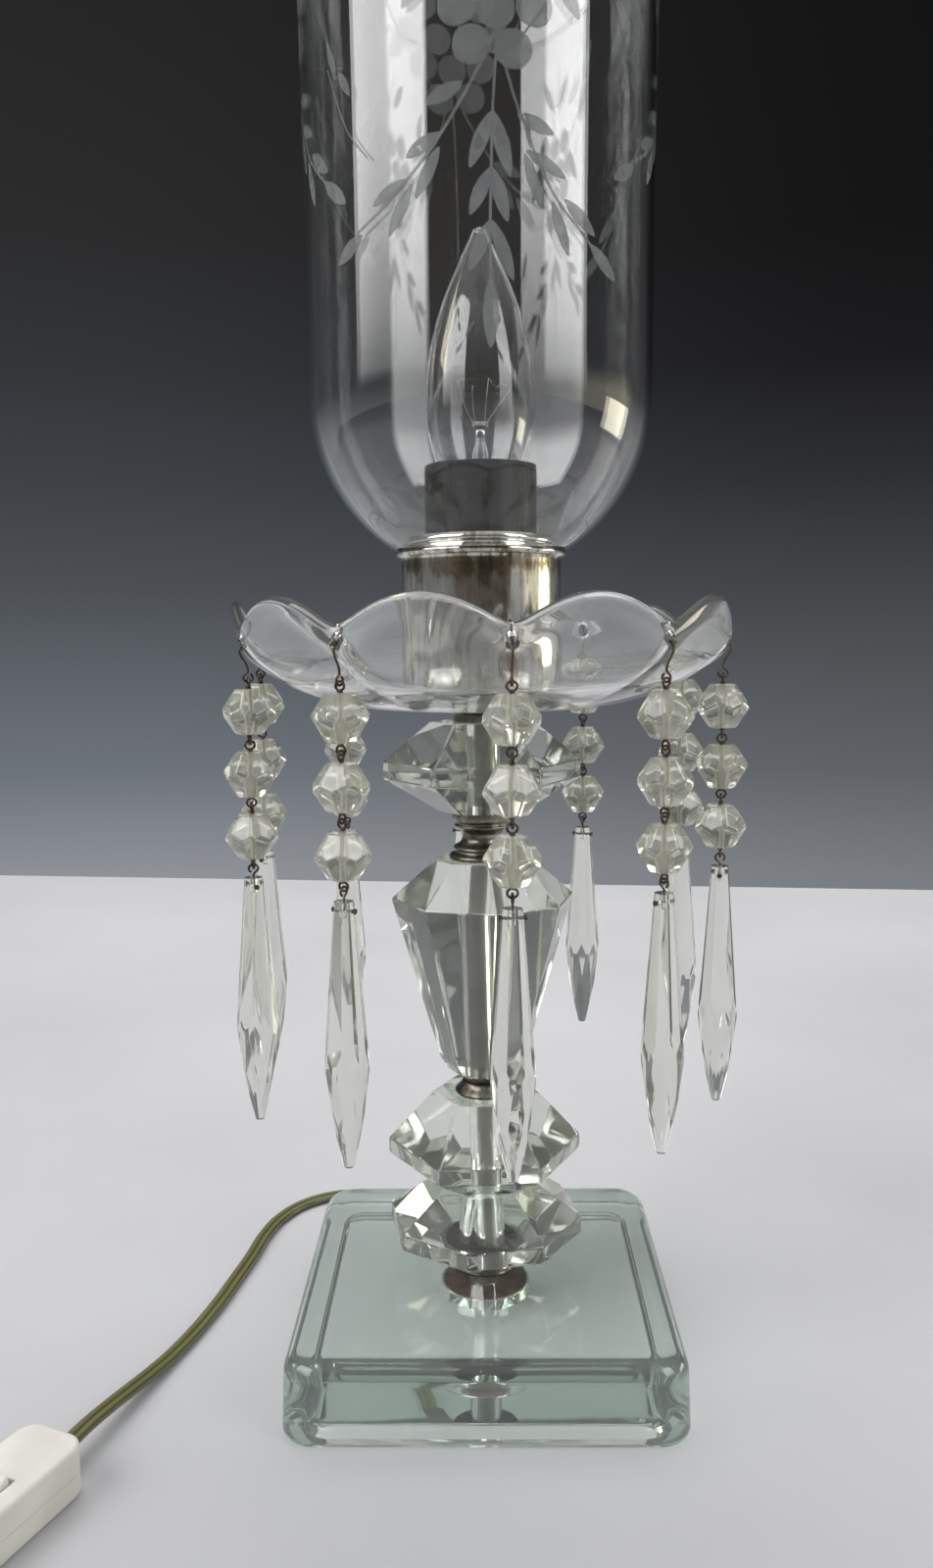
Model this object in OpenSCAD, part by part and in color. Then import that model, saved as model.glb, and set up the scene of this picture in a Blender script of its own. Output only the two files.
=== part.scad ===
// Crystal table lamp with a hurricane shade, hung with bead strings and icicle prisms.
// Millimetres, +Z up, origin under the middle of the glass base, the front towards -Y.

/* [Base] */
// Side of the square glass base
base_w = 124.4; // [112:0.2:140]
// Thickness of the glass base
base_h = 26; // [22:1:30]
// Corner radius of the base, seen from above
base_corner_r = 10.5; // [8:0.5:16]
// Radius of the rounded upper edge
base_edge_r = 6.5; // [3:0.5:8]
// Width of the rim that the base stands on, round its shallow hollow underside
foot_w = 7.7; // [6:0.1:10]
// Depth of the hollow inside that rim
hollow_h = 4.2; // [2:0.1:6]
// Diameter of the recess in the hollow that holds the washer and nut
recess_d = 31; // [30:1:44]

/* [Stem] */
// Outside diameter of the lamp pipe
pipe_d = 10; // [9:0.5:10]
// Inside diameter of the lamp pipe
pipe_bore_d = 7; // [6:0.5:7]
// Widest corner radius of the lowest, eight-sided crystal
lower_crystal_r = 33.5; // [28:0.5:35]
// Height of the lowest crystal
lower_crystal_h = 28.5; // [26:0.5:32]
// Widest corner radius of the six-sided crystal above it
middle_crystal_r = 33; // [28:0.5:35]
// Height of the middle crystal
middle_crystal_h = 31.5; // [28:0.5:34]
// Widest corner radius of the tall vase crystal
vase_crystal_r = 31; // [26:0.5:33]
// Height of the vase crystal
vase_crystal_h = 74.5; // [70:0.5:78]
// Widest corner radius of the six-sided crystal under the dish
upper_crystal_r = 33; // [28:0.5:35]
// Height of the upper crystal
upper_crystal_h = 29.8; // [27:0.1:32]

/* [Dish and strings] */
// Number of scallops, and of strings
scallops = 10; // [10:1:10]
// Radius of the dish at the top of a scallop
dish_r = 81; // [80:0.5:84]
// Distance from the lamp's axis to a string
string_r = 78; // [78:0.5:79]
// Height of a bead
bead_h = 14; // [13:0.5:14]
// Width of a bead across its corners
bead_w = 16; // [14:0.5:16.5]
// Distance from one bead to the next
bead_pitch = 19.2; // [19:0.1:20]
// Length of a prism
prism_l = 78; // [70:1:80]
// Width of a prism at its widest
prism_w = 13.4; // [12:0.2:14]

/* [Holder, shade and bulb] */
// Radius of the chrome shade holder
holder_r = 26; // [25.6:0.1:27]
// Height of the shade holder under its flange
holder_h = 45.4; // [44:0.2:50]
// Radius of the straight part of the shade
shade_r = 54.8; // [52:0.2:57]
// Height of the shade
shade_h = 231; // [200:1:250]
// Thickness of the shade's glass
shade_t = 2.8; // [2.4:0.1:3.2]
// Greatest radius of the bulb
bulb_r = 17.5; // [16:0.5:17.5]

/* [Cord] */
// Width of the flat twin cord
cord_w = 5.6; // [5:0.1:6]
// Thickness of the flat twin cord
cord_t = 2.8; // [2.4:0.1:3]
// Length of the inline switch body
switch_l = 62; // [58:1:66]
// Width of the inline switch body
switch_w = 22; // [20:1:24]
// Height of the inline switch body
switch_h = 15; // [14:0.5:16]

/* [Hidden] */

// Heights of the stack, from the table up
foot_ring_h = 2.5;
lower_spacer_h = 6.5;
upper_spacer_h = 16;
seat_ring_h = 4.2;
dish_floor_t = 3.5;
flange_h = 2.5;
foot_z = base_h;
lower_crystal_z = foot_z + foot_ring_h;
middle_crystal_z = lower_crystal_z + lower_crystal_h;
lower_spacer_z = middle_crystal_z + middle_crystal_h;
vase_z = lower_spacer_z + lower_spacer_h;
upper_spacer_z = vase_z + vase_crystal_h;
upper_crystal_z = upper_spacer_z + upper_spacer_h;
seat_z = upper_crystal_z + upper_crystal_h;
dish_z = seat_z + seat_ring_h;
holder_z = dish_z + dish_floor_t;
flange_z = holder_z + holder_h;
shade_z = flange_z + flange_h;

// Holes along the stem are this much wider in radius than the pipe
pipe_play = 0.3;
pipe_hole_r = pipe_d / 2 + pipe_play;
recess_h = 12;
// How far the foot of the base stands out on each side, as pressed glass leaves its mould
base_draft = 1;
foot_edge_r = 2;
hollow_corner_r = 7;
groove_angle = 107.2;
nut_h = 4.5;
nut_r = 8.5;
washer_r = 14.7;
washer_t = 1.4;
pipe_bottom = recess_h - washer_t - nut_h - 1;
pipe_top = holder_z + 19;

// Socket: plate of the bracket, sleeve and insulating body
plate_z = shade_z - 11.5;
plate_t = 1.2;
sleeve_r = 18.15;
sleeve_t = 0.85;
sleeve_h = 37.4;
socket_r = 12.5;
socket_h = 26;
shell_r = 6.55;
shell_h = 22.8;
bulb_base_z = plate_z + 6.5;
bulb_h = 106;

// The first string stands a little to the right of the front
first_string_angle = -84.1;
string_step = 360 / scallops;
hole_z = dish_z + 22.7;
hole_tilt = 60;
hole_r = 1.9;
wire_r = 0.4;
eye_r = 1.2;
eye_drop = bead_h / 2 + 1.9;
eye_step = 2 * eye_r - 2 * wire_r - 0.2;
hook_drop = 11.1;
first_bead_z = hole_z - hook_drop - eye_step - eye_drop;
prism_eye_z = first_bead_z - 2 * bead_pitch - eye_drop - eye_step;
prism_top_z = prism_eye_z - eye_r - 1.6;

// Cord: the routes' points, on the table, from the base to the plug
lie_z = cord_t / 2 + 0.1;
lead_route = [
    [-19, 61.5, lie_z], [-23, 74, lie_z], [-29, 87, lie_z], [-39, 98, lie_z],
    [-52, 104, lie_z], [-66, 102, lie_z], [-78, 94, lie_z], [-86, 81, lie_z],
    [-90, 66, lie_z], [-92, 50, lie_z], [-95, 32, lie_z], [-98, 15, lie_z],
    [-102, -2, lie_z], [-107, -19, 2], [-112, -34, 3.5], [-117, -49, 5.5],
    [-121, -62, 7], [-124.6, -74.4, 7.5]
];
switch_angle = 246.4;
switch_start = [-124.6, -74.4, 0];
switch_end_x = switch_start[0] + switch_l * cos(switch_angle);
switch_end_y = switch_start[1] + switch_l * sin(switch_angle);
switch_cord_z = 7.5;

// Coil: two layers of turns on edge, wound clockwise from outside in, and out again
coil_gap = 0.8;
coil_pitch = cord_t + coil_gap;
coil_layer = cord_w + 0.7;
coil_turns = 7.435;
coil_inner_r = 23.1;
coil_outer_r = coil_inner_r + coil_pitch * coil_turns / 2;
coil_z = 3.6;
coil_steps = 24;
tail_l = 36;
// The coil's end faces lean a little against the cords that meet them, which stop this far short
cord_end_gap = 0.4;
coil_start_x = switch_end_x + tail_l * cos(switch_angle);
coil_start_y = switch_end_y + tail_l * sin(switch_angle);
coil_start_angle = switch_angle + 90;
coil_x = coil_start_x - coil_outer_r * cos(coil_start_angle);
coil_y = coil_start_y - coil_outer_r * sin(coil_start_angle);

// The cord between the coil and the plug, and the plug's place
end_route = [
    [-233.7, -149.5 + cord_end_gap, 9.9], [-233.9, -138, 9.3], [-233.2, -126, 8.2], [-231.2, -114.5, 7.1],
    [-228, -104, 6.3], [-223.5, -94, 6]
];
plug_start = end_route[len(end_route) - 1];
plug_angle = 65.8;
plug_l = 27;
plug_w = 22;
plug_h = 12;
plug_z = 6;
blade_y = 6.35;
blade_l = 16.2;
blade_w = 6.3;
blade_t = 1.5;
blade_root = 8.8;

// The point that lies the share t along the straight line from a to b
function between(a, b, t) = a + (b - a) * t;

// A cubic curve from a to d, drawn by b and c, as a list of n + 1 points
function curve(a, b, c, d, n) = [
    for (i = [0 : n])
        let (t = i / n, s = 1 - t)
        a * s * s * s + b * 3 * s * s * t + c * 3 * s * t * t + d * t * t * t
];

// Length of a route
function route_length(p, i = 0) = i >= len(p) - 1 ? 0 : norm(p[i + 1] - p[i]) + route_length(p, i + 1);

// Direction of a route at its point i
function heading(p, i) =
    let (d = p[min(i + 1, len(p) - 1)] - p[max(i - 1, 0)])
    d / norm(d);

// Faces of a tube whose rings have n points each, closed at both ends
function tube_faces(rings, n) = concat(
    [[for (j = [0 : n - 1]) j]],
    [[for (j = [n - 1 : -1 : 0]) (rings - 1) * n + j]],
    [for (i = [0 : rings - 2], j = [0 : n - 1]) [i * n + j, (i + 1) * n + j, (i + 1) * n + (j + 1) % n]],
    [for (i = [0 : rings - 2], j = [0 : n - 1])
        [i * n + j, (i + 1) * n + (j + 1) % n, i * n + (j + 1) % n]]
);

// A flat cord along a route: w wide and t thick, turned by roll from first to last
module flat_tube(route, w, t, sides, roll_a, roll_b) {
    last = len(route) - 1;
    points = [
        for (i = [0 : last])
            let (
                d = heading(route, i),
                side = cross(d, [0, 0, 1]) / norm(cross(d, [0, 0, 1])),
                up = cross(side, d),
                roll = between(roll_a, roll_b, i / last),
                wide = side * cos(roll) + up * sin(roll),
                thin = up * cos(roll) - side * sin(roll)
            )
            for (j = [0 : sides - 1])
                let (a = 360 * (j + 0.5) / sides, k = 1 / cos(180 / sides))
                route[i] + wide * (w / 2 * k * cos(a)) + thin * (t / 2 * k * sin(a))
    ];
    polyhedron(points, tube_faces(last + 1, sides), convexity = 10);
}

// A thin wire in the XZ plane along a list of [x, z] points
module flat_wire(path, r) {
    sides = 4;
    last = len(path) - 1;
    points = [
        for (i = [0 : last])
            let (
                d = path[min(i + 1, last)] - path[max(i - 1, 0)],
                n = [d[1], -d[0]] / norm(d)
            )
            for (j = [0 : sides - 1])
                let (a = 360 * j / sides, off = n * (r * cos(a)))
                [path[i][0] + off[0], r * sin(a), path[i][1] + off[1]]
    ];
    polyhedron(points, tube_faces(last + 1, sides), convexity = 6);
}

// Points of an open wire eye of centre [0, z]; its neck leaves downwards or upwards
function eye_above(z) = [for (a = [-40 : 53 : 225]) [eye_r * cos(a), z + eye_r * sin(a)]];
function eye_below(z) = [for (p = eye_above(-z)) [p[0], -p[1]]];
function reversed(list) = [for (i = [len(list) - 1 : -1 : 0]) list[i]];

// A round piece turned from a profile of [r, z] points
module turned(profile) {
    rotate_extrude($fn = 96) polygon(profile);
}

// A crystal with flat sides, bored for the pipe; profile gives corner radii and heights
module cut_crystal(profile, sides, turn, z) {
    top = profile[len(profile) - 1][1];
    translate([0, 0, z])
        difference() {
            rotate([0, 0, turn])
                rotate_extrude($fn = sides)
                    polygon(concat([[0, 0]], profile, [[0, top]]));
            translate([0, 0, -1]) cylinder(r = pipe_hole_r, h = top + 2, $fn = 48);
        }
}

// Side profile of the base between its flat middle and its outer face
function base_profile(reach) = concat(
    [[0, 0]],
    [for (a = [-90 : 30 : 0])
        [reach + base_draft - foot_edge_r + foot_edge_r * cos(a), foot_edge_r + foot_edge_r * sin(a)]],
    [for (a = [0 : 18 : 90])
        [reach - base_edge_r + base_edge_r * cos(a), base_h - base_edge_r + base_edge_r * sin(a)]],
    [[0, base_h]]
);

// Outline of a square with rounded corners, counter-clockwise from its right side
function rounded_square(w, r) = [for (q = [0 : 3], a = [0 : 15 : 90])
    (w / 2 - r) * [q == 0 || q == 3 ? 1 : -1, q < 2 ? 1 : -1] + r * [cos(90 * q + a), sin(90 * q + a)]];

module base_block() {
    half = base_w / 2;
    inner = half - base_corner_r;
    color([0.80, 0.88, 0.86, 0.6])
        difference() {
            union() {
                for (q = [0 : 3]) {
                    rotate([0, 0, 90 * q]) translate([inner, inner, 0])
                        rotate_extrude(angle = 90, $fn = 64) polygon(base_profile(base_corner_r));
                    rotate([0, 0, 90 * q]) translate([inner, inner, 0])
                        rotate([90, 0, 0])
                            linear_extrude(2 * inner) polygon(base_profile(base_corner_r));
                }
                translate([-inner, -inner, 0]) cube([2 * inner, 2 * inner, base_h]);
            }
            translate([0, 0, -1]) cylinder(r = pipe_hole_r, h = base_h + 2, $fn = 48);
            translate([0, 0, -1])
                linear_extrude(hollow_h + 1) polygon(rounded_square(base_w - 2 * foot_w, hollow_corner_r));
            translate([0, 0, -1]) cylinder(d = recess_d, h = recess_h + 1, $fn = 96);
            rotate([0, 0, groove_angle]) translate([0, -3.75, -1]) cube([half + 20, 7.5, 5]);
        }
}

module base_washer() {
    color([0.42, 0.30, 0.22])
        translate([0, 0, recess_h - washer_t])
            difference() {
                cylinder(r = washer_r, h = washer_t, $fn = 64);
                translate([0, 0, -1]) cylinder(r = pipe_hole_r, h = washer_t + 2, $fn = 48);
            }
}

module hex_nut(z) {
    translate([0, 0, z])
        difference() {
            cylinder(r = nut_r, h = nut_h, $fn = 6);
            translate([0, 0, -1]) cylinder(d = pipe_d + 0.1, h = nut_h + 2, $fn = 48);
        }
}

module pipe_nuts() {
    color([0.62, 0.56, 0.42]) {
        hex_nut(recess_h - washer_t - nut_h);
        hex_nut(holder_z + 1.2);
        hex_nut(holder_z + 13.2);
    }
}

module stem_pipe() {
    color([0.66, 0.66, 0.64])
        translate([0, 0, pipe_bottom])
            difference() {
                cylinder(d = pipe_d, h = pipe_top - pipe_bottom, $fn = 64);
                translate([0, 0, -1]) cylinder(d = pipe_bore_d, h = pipe_top, $fn = 48);
            }
}

module foot_ring() {
    h = foot_ring_h;
    color([0.55, 0.52, 0.44])
        translate([0, 0, foot_z])
            turned([[pipe_hole_r, 0], [10.6, 0], [11, 0.7], [10.4, 1.5], [9.6, h], [pipe_hole_r, h]]);
}

module lower_crystal() {
    r = lower_crystal_r;
    h = lower_crystal_h;
    color([0.86, 0.90, 0.86, 0.6])
        cut_crystal([[12, 0], [r, 11.5], [r, 17], [17, h]], 8, 35, lower_crystal_z);
}

module middle_crystal() {
    r = middle_crystal_r;
    h = middle_crystal_h;
    color([0.86, 0.90, 0.88, 0.6])
        cut_crystal([[15.5, 0], [r, 10.2], [r, 15.2], [17.5, h]], 6, 3, middle_crystal_z);
}

module lower_spacer() {
    h = lower_spacer_h;
    color([0.60, 0.57, 0.50])
        translate([0, 0, lower_spacer_z])
            turned([
                [pipe_hole_r, 0], [9.7, 0], [9.9, 0.6], [9.4, 1.3], [8.2, 2.6], [7.2, 3.9],
                [6.4, 4.4], [7, 4.9], [7.3, 5.5], [7, h], [pipe_hole_r, h]
            ]);
}

module vase_crystal() {
    r = vase_crystal_r;
    h = vase_crystal_h;
    color([0.88, 0.91, 0.89, 0.6])
        cut_crystal(
            [[9, 0], [12.4, 1.8], [15, 6], [r, h - 13], [16, h]],
            8, 8, vase_z
        );
}

module upper_spacer() {
    h = upper_spacer_h;
    color([0.68, 0.68, 0.66])
        translate([0, 0, upper_spacer_z])
            turned([
                [pipe_hole_r, 0], [11, 0], [11.3, 0.8], [10.8, 1.6], [9.4, 2.2], [9.2, 3],
                [9.8, 3.6], [9.4, 4.3], [7.9, 5.2], [7, 6.4], [6.8, 7.6], [7.1, 8.8],
                [8.2, 10], [9.2, 10.6], [9.4, 11.3], [8.9, 11.9], [9.2, 12.5], [10, 13],
                [10.3, 13.8], [10.3, h], [pipe_hole_r, h]
            ]);
}

module upper_crystal() {
    r = upper_crystal_r;
    h = upper_crystal_h;
    color([0.88, 0.91, 0.89, 0.6])
        cut_crystal([[14.8, 0], [r, 11], [r, 16.9], [17.3, h]], 6, 3, upper_crystal_z);
}

module seat_ring() {
    h = seat_ring_h;
    color([0.66, 0.60, 0.46])
        translate([0, 0, seat_z])
            turned([[pipe_hole_r, 0], [9.4, 0], [9.6, 2.4], [10.8, 3], [11.2, h], [pipe_hole_r, h]]);
}

// Rows of the dish's closed section: radius and height at a scallop, and how far a notch draws in
dish_rows = [
    [pipe_hole_r, 0, 0], [24, 0, 0], [38, 0.9, 0.05], [50, 3.2, 0.12], [61, 7.3, 0.22],
    [dish_r - 11, 13.2, 0.42], [dish_r - 4.7, 20.1, 0.7], [dish_r - 1.2, 27, 0.92],
    [dish_r, 33, 1], [dish_r - 0.4, 34.9, 1], [dish_r - 1.3, 35.6, 1], [dish_r - 2.2, 34.8, 1],
    [dish_r - 3.6, 30.6, 0.97], [dish_r - 7.4, 22.4, 0.7], [dish_r - 13.7, 15.5, 0.42],
    [59.1, 10.3, 0.22], [48.8, 6.7, 0.12], [37.4, 4.4, 0.05],
    [holder_r + 0.8, dish_floor_t, 0], [pipe_hole_r, dish_floor_t, 0]
];
dish_columns = 9 * scallops;
notch_in = 0.4;
notch_down = 8.8;
// How round the bottom of a notch is: 0 is a sharp cusp
notch_round = 0.35;

// A point of the dish: row i of the section, at column j of the way round
function dish_point(i, j) =
    let (
        a = 360 * j / dish_columns,
        wave = sqrt(pow(sin(a * scallops / 2), 2) + pow(notch_round, 2)) - notch_round,
        lobe = pow(wave / (sqrt(1 + pow(notch_round, 2)) - notch_round), 0.75),
        row = dish_rows[i],
        r = row[0] - notch_in * row[2] * (1 - lobe),
        z = row[1] - notch_down * row[2] * row[2] * (1 - lobe)
    )
    [r * cos(a + first_string_angle), r * sin(a + first_string_angle), z];

module dish_glass() {
    rows = len(dish_rows);
    cols = dish_columns;
    points = [for (i = [0 : rows - 1], j = [0 : cols - 1]) dish_point(i, j)];
    faces = [
        for (i = [0 : rows - 1], j = [0 : cols - 1], half = [0, 1])
            let (
                a = i * cols + j,
                b = i * cols + (j + 1) % cols,
                c = ((i + 1) % rows) * cols + (j + 1) % cols,
                d = ((i + 1) % rows) * cols + j
            )
            half == 0 ? [a, c, b] : [a, d, c]
    ];
    polyhedron(points, faces, convexity = 10);
}

// Puts its children at the hole of string i, with X pointing away from the lamp's axis
module at_string(i) {
    rotate([0, 0, first_string_angle + string_step * (i - 1)])
        translate([string_r, 0, hole_z]) children();
}

module bobeche() {
    color([0.90, 0.92, 0.91, 0.5])
        difference() {
            translate([0, 0, dish_z]) dish_glass();
            for (i = [1 : scallops])
                at_string(i) rotate([0, -hole_tilt, 0])
                    cylinder(r = hole_r, h = 9, center = true, $fn = 12);
        }
}

module holder_cup() {
    r = holder_r;
    t = 0.8;
    h = holder_h;
    color([0.78, 0.78, 0.77])
        translate([0, 0, holder_z])
            turned([
                [pipe_hole_r, 0], [r, 0], [r, h], [r + 1.1, h + 0.3], [r + 1.7, h + 1.1],
                [r + 1.7, h + 1.9], [r + 1.2, h + flange_h], [r - t, h + flange_h],
                [r - t, 1.2], [pipe_hole_r, 1.2]
            ]);
}

module holder_ring() {
    hole = sleeve_r + 0.4;
    color([0.80, 0.80, 0.79])
        translate([0, 0, shade_z])
            turned([
                [hole, 0], [25.3, 0], [25.5, 1.3], [25.2, 2.4], [24.3, 2.7], [24.3, 3],
                [24.9, 3.3], [25, 4.2], [24.4, 5.3], [hole, 5.3]
            ]);
}

module socket_bracket() {
    foot = holder_z + 12;
    leg_h = plate_z - foot;
    color([0.70, 0.68, 0.60])
        difference() {
            union() {
                translate([0, 0, plate_z]) cylinder(r = sleeve_r, h = plate_t, $fn = 64);
                translate([0, 0, foot]) cylinder(r = 11, h = plate_t, $fn = 48);
                for (s = [-1, 1])
                    translate([s * 10 - 0.75, -4, foot]) cube([1.5, 8, leg_h + 0.5]);
            }
            translate([0, 0, foot - 1]) cylinder(r = pipe_hole_r, h = plate_t + 2, $fn = 48);
            translate([0, 0, plate_z - 1]) cylinder(r = 4.5, h = plate_t + 2, $fn = 48);
        }
}

module socket_body() {
    color([0.20, 0.18, 0.17])
        translate([0, 0, plate_z + plate_t])
            difference() {
                cylinder(r = socket_r, h = socket_h, $fn = 64);
                translate([0, 0, 3]) cylinder(r = shell_r + 0.05, h = socket_h, $fn = 64);
                translate([0, 0, -1]) cylinder(r = 3, h = 6, $fn = 32);
            }
}

module socket_shell() {
    r = shell_r;
    color([0.80, 0.66, 0.32])
        translate([0, 0, plate_z + plate_t + 3])
            turned([[r - 0.5, 0], [r, 0], [r, shell_h], [r - 0.5, shell_h]]);
}

module socket_contact() {
    color([0.82, 0.68, 0.34])
        translate([0, 0, plate_z + plate_t]) {
            translate([0, 0, 3]) cylinder(r = 5, h = 0.5, $fn = 32);
            translate([0, 0, 3.4]) cylinder(r = 2.4, h = 1.6, $fn = 32);
            translate([0, 0, -0.6]) cylinder(r = 2.9, h = 3.8, $fn = 32);
        }
}

module socket_sleeve() {
    color([0.20, 0.19, 0.18])
        translate([0, 0, plate_z + plate_t])
            difference() {
                cylinder(r = sleeve_r, h = sleeve_h, $fn = 96);
                translate([0, 0, -1]) cylinder(r = sleeve_r - sleeve_t, h = sleeve_h + 2, $fn = 96);
            }
}

// The twin conductors of the cord, side by side along +X, of the given length
module straight_cord(l) {
    r = cord_t / 2;
    rotate([0, 90, 0])
        linear_extrude(l) {
            translate([0, r - cord_w / 2]) circle(r = r, $fn = 32);
            translate([0, cord_w / 2 - r]) circle(r = r, $fn = 32);
            square([r, cord_w - 2 * r], center = true);
        }
}

module inner_cord() {
    top = plate_z - 1.5;
    groove_l = norm([lead_route[0][0], lead_route[0][1]]);
    color([0.60, 0.55, 0.33]) {
        translate([0, 0, lie_z - cord_t / 2]) rotate([0, -90, 0]) rotate([groove_angle - 90, 0, 0])
            straight_cord(top);
        rotate([0, 0, groove_angle]) translate([0, 0, lie_z]) straight_cord(groove_l);
    }
}

// The shade's outer side from its foot to its rim, and its inner side back
shade_low = curve([27.8, 0], [33, 2.4], [shade_r, 18], [shade_r, 48], 10);
shade_high = curve(
    [shade_r, 60], [shade_r, 130], [shade_r + 1, 190], [shade_r + 3, shade_h - shade_t / 2], 6
);
shade_inner_low = curve(
    [25.9, 0.6], [31, 4], [shade_r - shade_t, 20], [shade_r - shade_t, 48], 10
);
shade_rim = [for (a = [0 : 45 : 180])
    [shade_r + 3 - shade_t / 2 * (1 - cos(a)), shade_h - shade_t / 2 * (1 - sin(a))]];

module shade() {
    back = reversed([for (p = shade_high) [p[0] - shade_t, p[1]]]);
    color([0.93, 0.94, 0.95, 0.35])
        translate([0, 0, shade_z + 0.1])
            turned(concat(
                [[26.3, 0]], shade_low, shade_high, shade_rim, back, reversed(shade_inner_low)
            ));
}

// The bulb's glass from its neck to its tip; inward moves the line towards the axis
function bulb_line(inward) =
    let (neck = 21 + 1.5 * inward, wide = 53, tip = bulb_h)
    concat(
        curve([5.9 - inward, neck], [10.5 - inward, neck + 3.3], [bulb_r + 1 - inward, wide - 17],
            [bulb_r - inward, wide], 10),
        curve([bulb_r - inward, wide + 1], [bulb_r - inward, wide + 22], [7.2 - inward, tip - 11.5],
            [2.2 - inward, tip - 1.2 - inward], 12)
    );

module bulb_contact() {
    color([0.62, 0.62, 0.62])
        translate([0, 0, bulb_base_z])
            turned([[0, 0], [1.4, 0], [2.3, 0.8], [2.3, 1.6], [0, 1.6]]);
}

module bulb_cap() {
    z = bulb_base_z;
    rings = [for (k = [0 : 4], s = [0, 1, 2, 3])
        [5.55 + 0.4 * [0, 1, 1, 0][s], 5.6 + 2.54 * k + [0, 0.7, 1.4, 2.1][s]]];
    color([0.80, 0.72, 0.50])
        translate([0, 0, z])
            turned(concat(
                [[0, 1.65], [2.4, 1.65], [3.2, 2.2], [5.2, 4.6]], rings,
                [[5.95, 18.4], [5.95, 20.5], [5.7, 20.5], [5.1, 17], [4.9, 5.6], [0, 5.6]]
            ));
}

module bulb_glass() {
    outer = bulb_line(0);
    inner = reversed(bulb_line(0.6));
    color([0.95, 0.95, 0.95, 0.3])
        translate([0, 0, bulb_base_z])
            turned(concat(
                [[4.3, 6.4], [4.8, 6.4], [4.8, 20.2]], outer,
                [[0, bulb_h], [0, bulb_h - 1.8]], inner, [[4.3, 21.3]]
            ));
}

module bulb_stem() {
    color([0.90, 0.92, 0.92, 0.5])
        translate([0, 0, bulb_base_z])
            turned([
                [0, 12], [4, 12], [3.2, 18], [2.1, 26], [1.9, 36], [2.4, 38], [2.3, 40],
                [1.2, 41], [0, 41]
            ]);
}

module bulb_filament() {
    top = 54;
    color([0.25, 0.24, 0.23])
        translate([0, 0, bulb_base_z]) {
            for (s = [-1, 1])
                flat_wire([[s * 0.8, 41.1], [s * 3, 46], [s * 6.4, top], [s * 6.4, top + 1.4]], 0.2);
            flat_wire(
                [[-6, top - 0.2], [-3, top + 2.4], [0, top - 1.2], [3, top + 2.4], [6, top - 0.2]], 0.18
            );
            rotate([0, 0, 90])
                flat_wire([[0, 41.1], [0.4, 48], [0, top - 1.6]], 0.2);
        }
}

// The hook of a string: through the dish's hole, then down to an eye
hook_path = concat(
    [[-3.6, 5.2], [-3.7, 3.6], [-2.6, 2.2], [-1.3, 1.1], [1.4, -1.2], [2.2, -2.1],
     [2.4, -3.5], [1.6, -5.2], [0.6, -6.8], [0.1, -8.2]],
    [[0, 0.6 - hook_drop + eye_r]],
    reversed(eye_below(-hook_drop))
);

// A wire with an eye above and below a bead, which is threaded on its middle
bead_wire = concat(eye_above(eye_drop), [[0, eye_drop - eye_r - 0.4]],
    [[0, -eye_drop + eye_r + 0.4]], reversed(eye_below(-eye_drop)));

module bead() {
    top_r = 4.7;
    half = bead_h / 2;
    rotate([0, 0, 22.5])
        rotate_extrude($fn = 8)
            polygon([
                [1, -half], [top_r, -half], [bead_w / 2 - 0.3, -1.8], [bead_w / 2, 1.8],
                [top_r, half], [1, half]
            ]);
}

module bead_string(i) {
    at_string(i) {
        color([0.27, 0.24, 0.20]) flat_wire(hook_path, wire_r);
        for (k = [0 : 2])
            translate([0, 0, first_bead_z - hole_z - k * bead_pitch]) {
                color([0.90, 0.90, 0.86, 0.6]) bead();
                color([0.27, 0.24, 0.20]) rotate([0, 0, k == 1 ? 0 : 90]) flat_wire(bead_wire, wire_r);
            }
    }
}

// Rings of the prism: corner radius, depth under its top, and turn of its corners
prism_rings = [
    [2.95, 0, 22.5], [3.15, 0.6, 22.5], [prism_w / 2, 0.62 * prism_l, 22.5],
    [0.93 * prism_w / 2, 0.74 * prism_l, 0], [0.66 * prism_w / 2, 0.87 * prism_l, -22.5],
    [1.4, prism_l, -45]
];

module prism_glass() {
    sides = 8;
    rings = len(prism_rings);
    points = [
        for (ring = prism_rings, j = [0 : sides - 1])
            let (a = 360 * j / sides + ring[2])
            [ring[0] * cos(a), ring[0] * sin(a), -ring[1]]
    ];
    difference() {
        polyhedron(points, tube_faces(rings, sides), convexity = 4);
        translate([0, 0, -4.6]) cylinder(r = 0.7, h = 6, $fn = 6);
        translate([0, 0, -2.6]) rotate([90, 0, 0]) cylinder(r = 0.53, h = 10, center = true, $fn = 6);
    }
}

module prism(i) {
    pin_l = 7.4;
    at_string(i) translate([0, 0, prism_top_z - hole_z]) {
        color([0.90, 0.90, 0.86, 0.6]) prism_glass();
        color([0.27, 0.24, 0.20]) {
            flat_wire(concat(eye_above(prism_eye_z - prism_top_z), [[0, 0.8], [0, -2.6]]), wire_r);
            translate([0, 0, -2.6]) rotate([90, 0, 0])
                cylinder(r = 0.45, h = pin_l, center = true, $fn = 6);
            for (s = [-1, 1])
                translate([0, s * pin_l / 2, -2.6]) rotate([90, 0, 0])
                    cylinder(r = 0.9, h = 0.6, center = true, $fn = 6);
        }
    }
}

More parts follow.
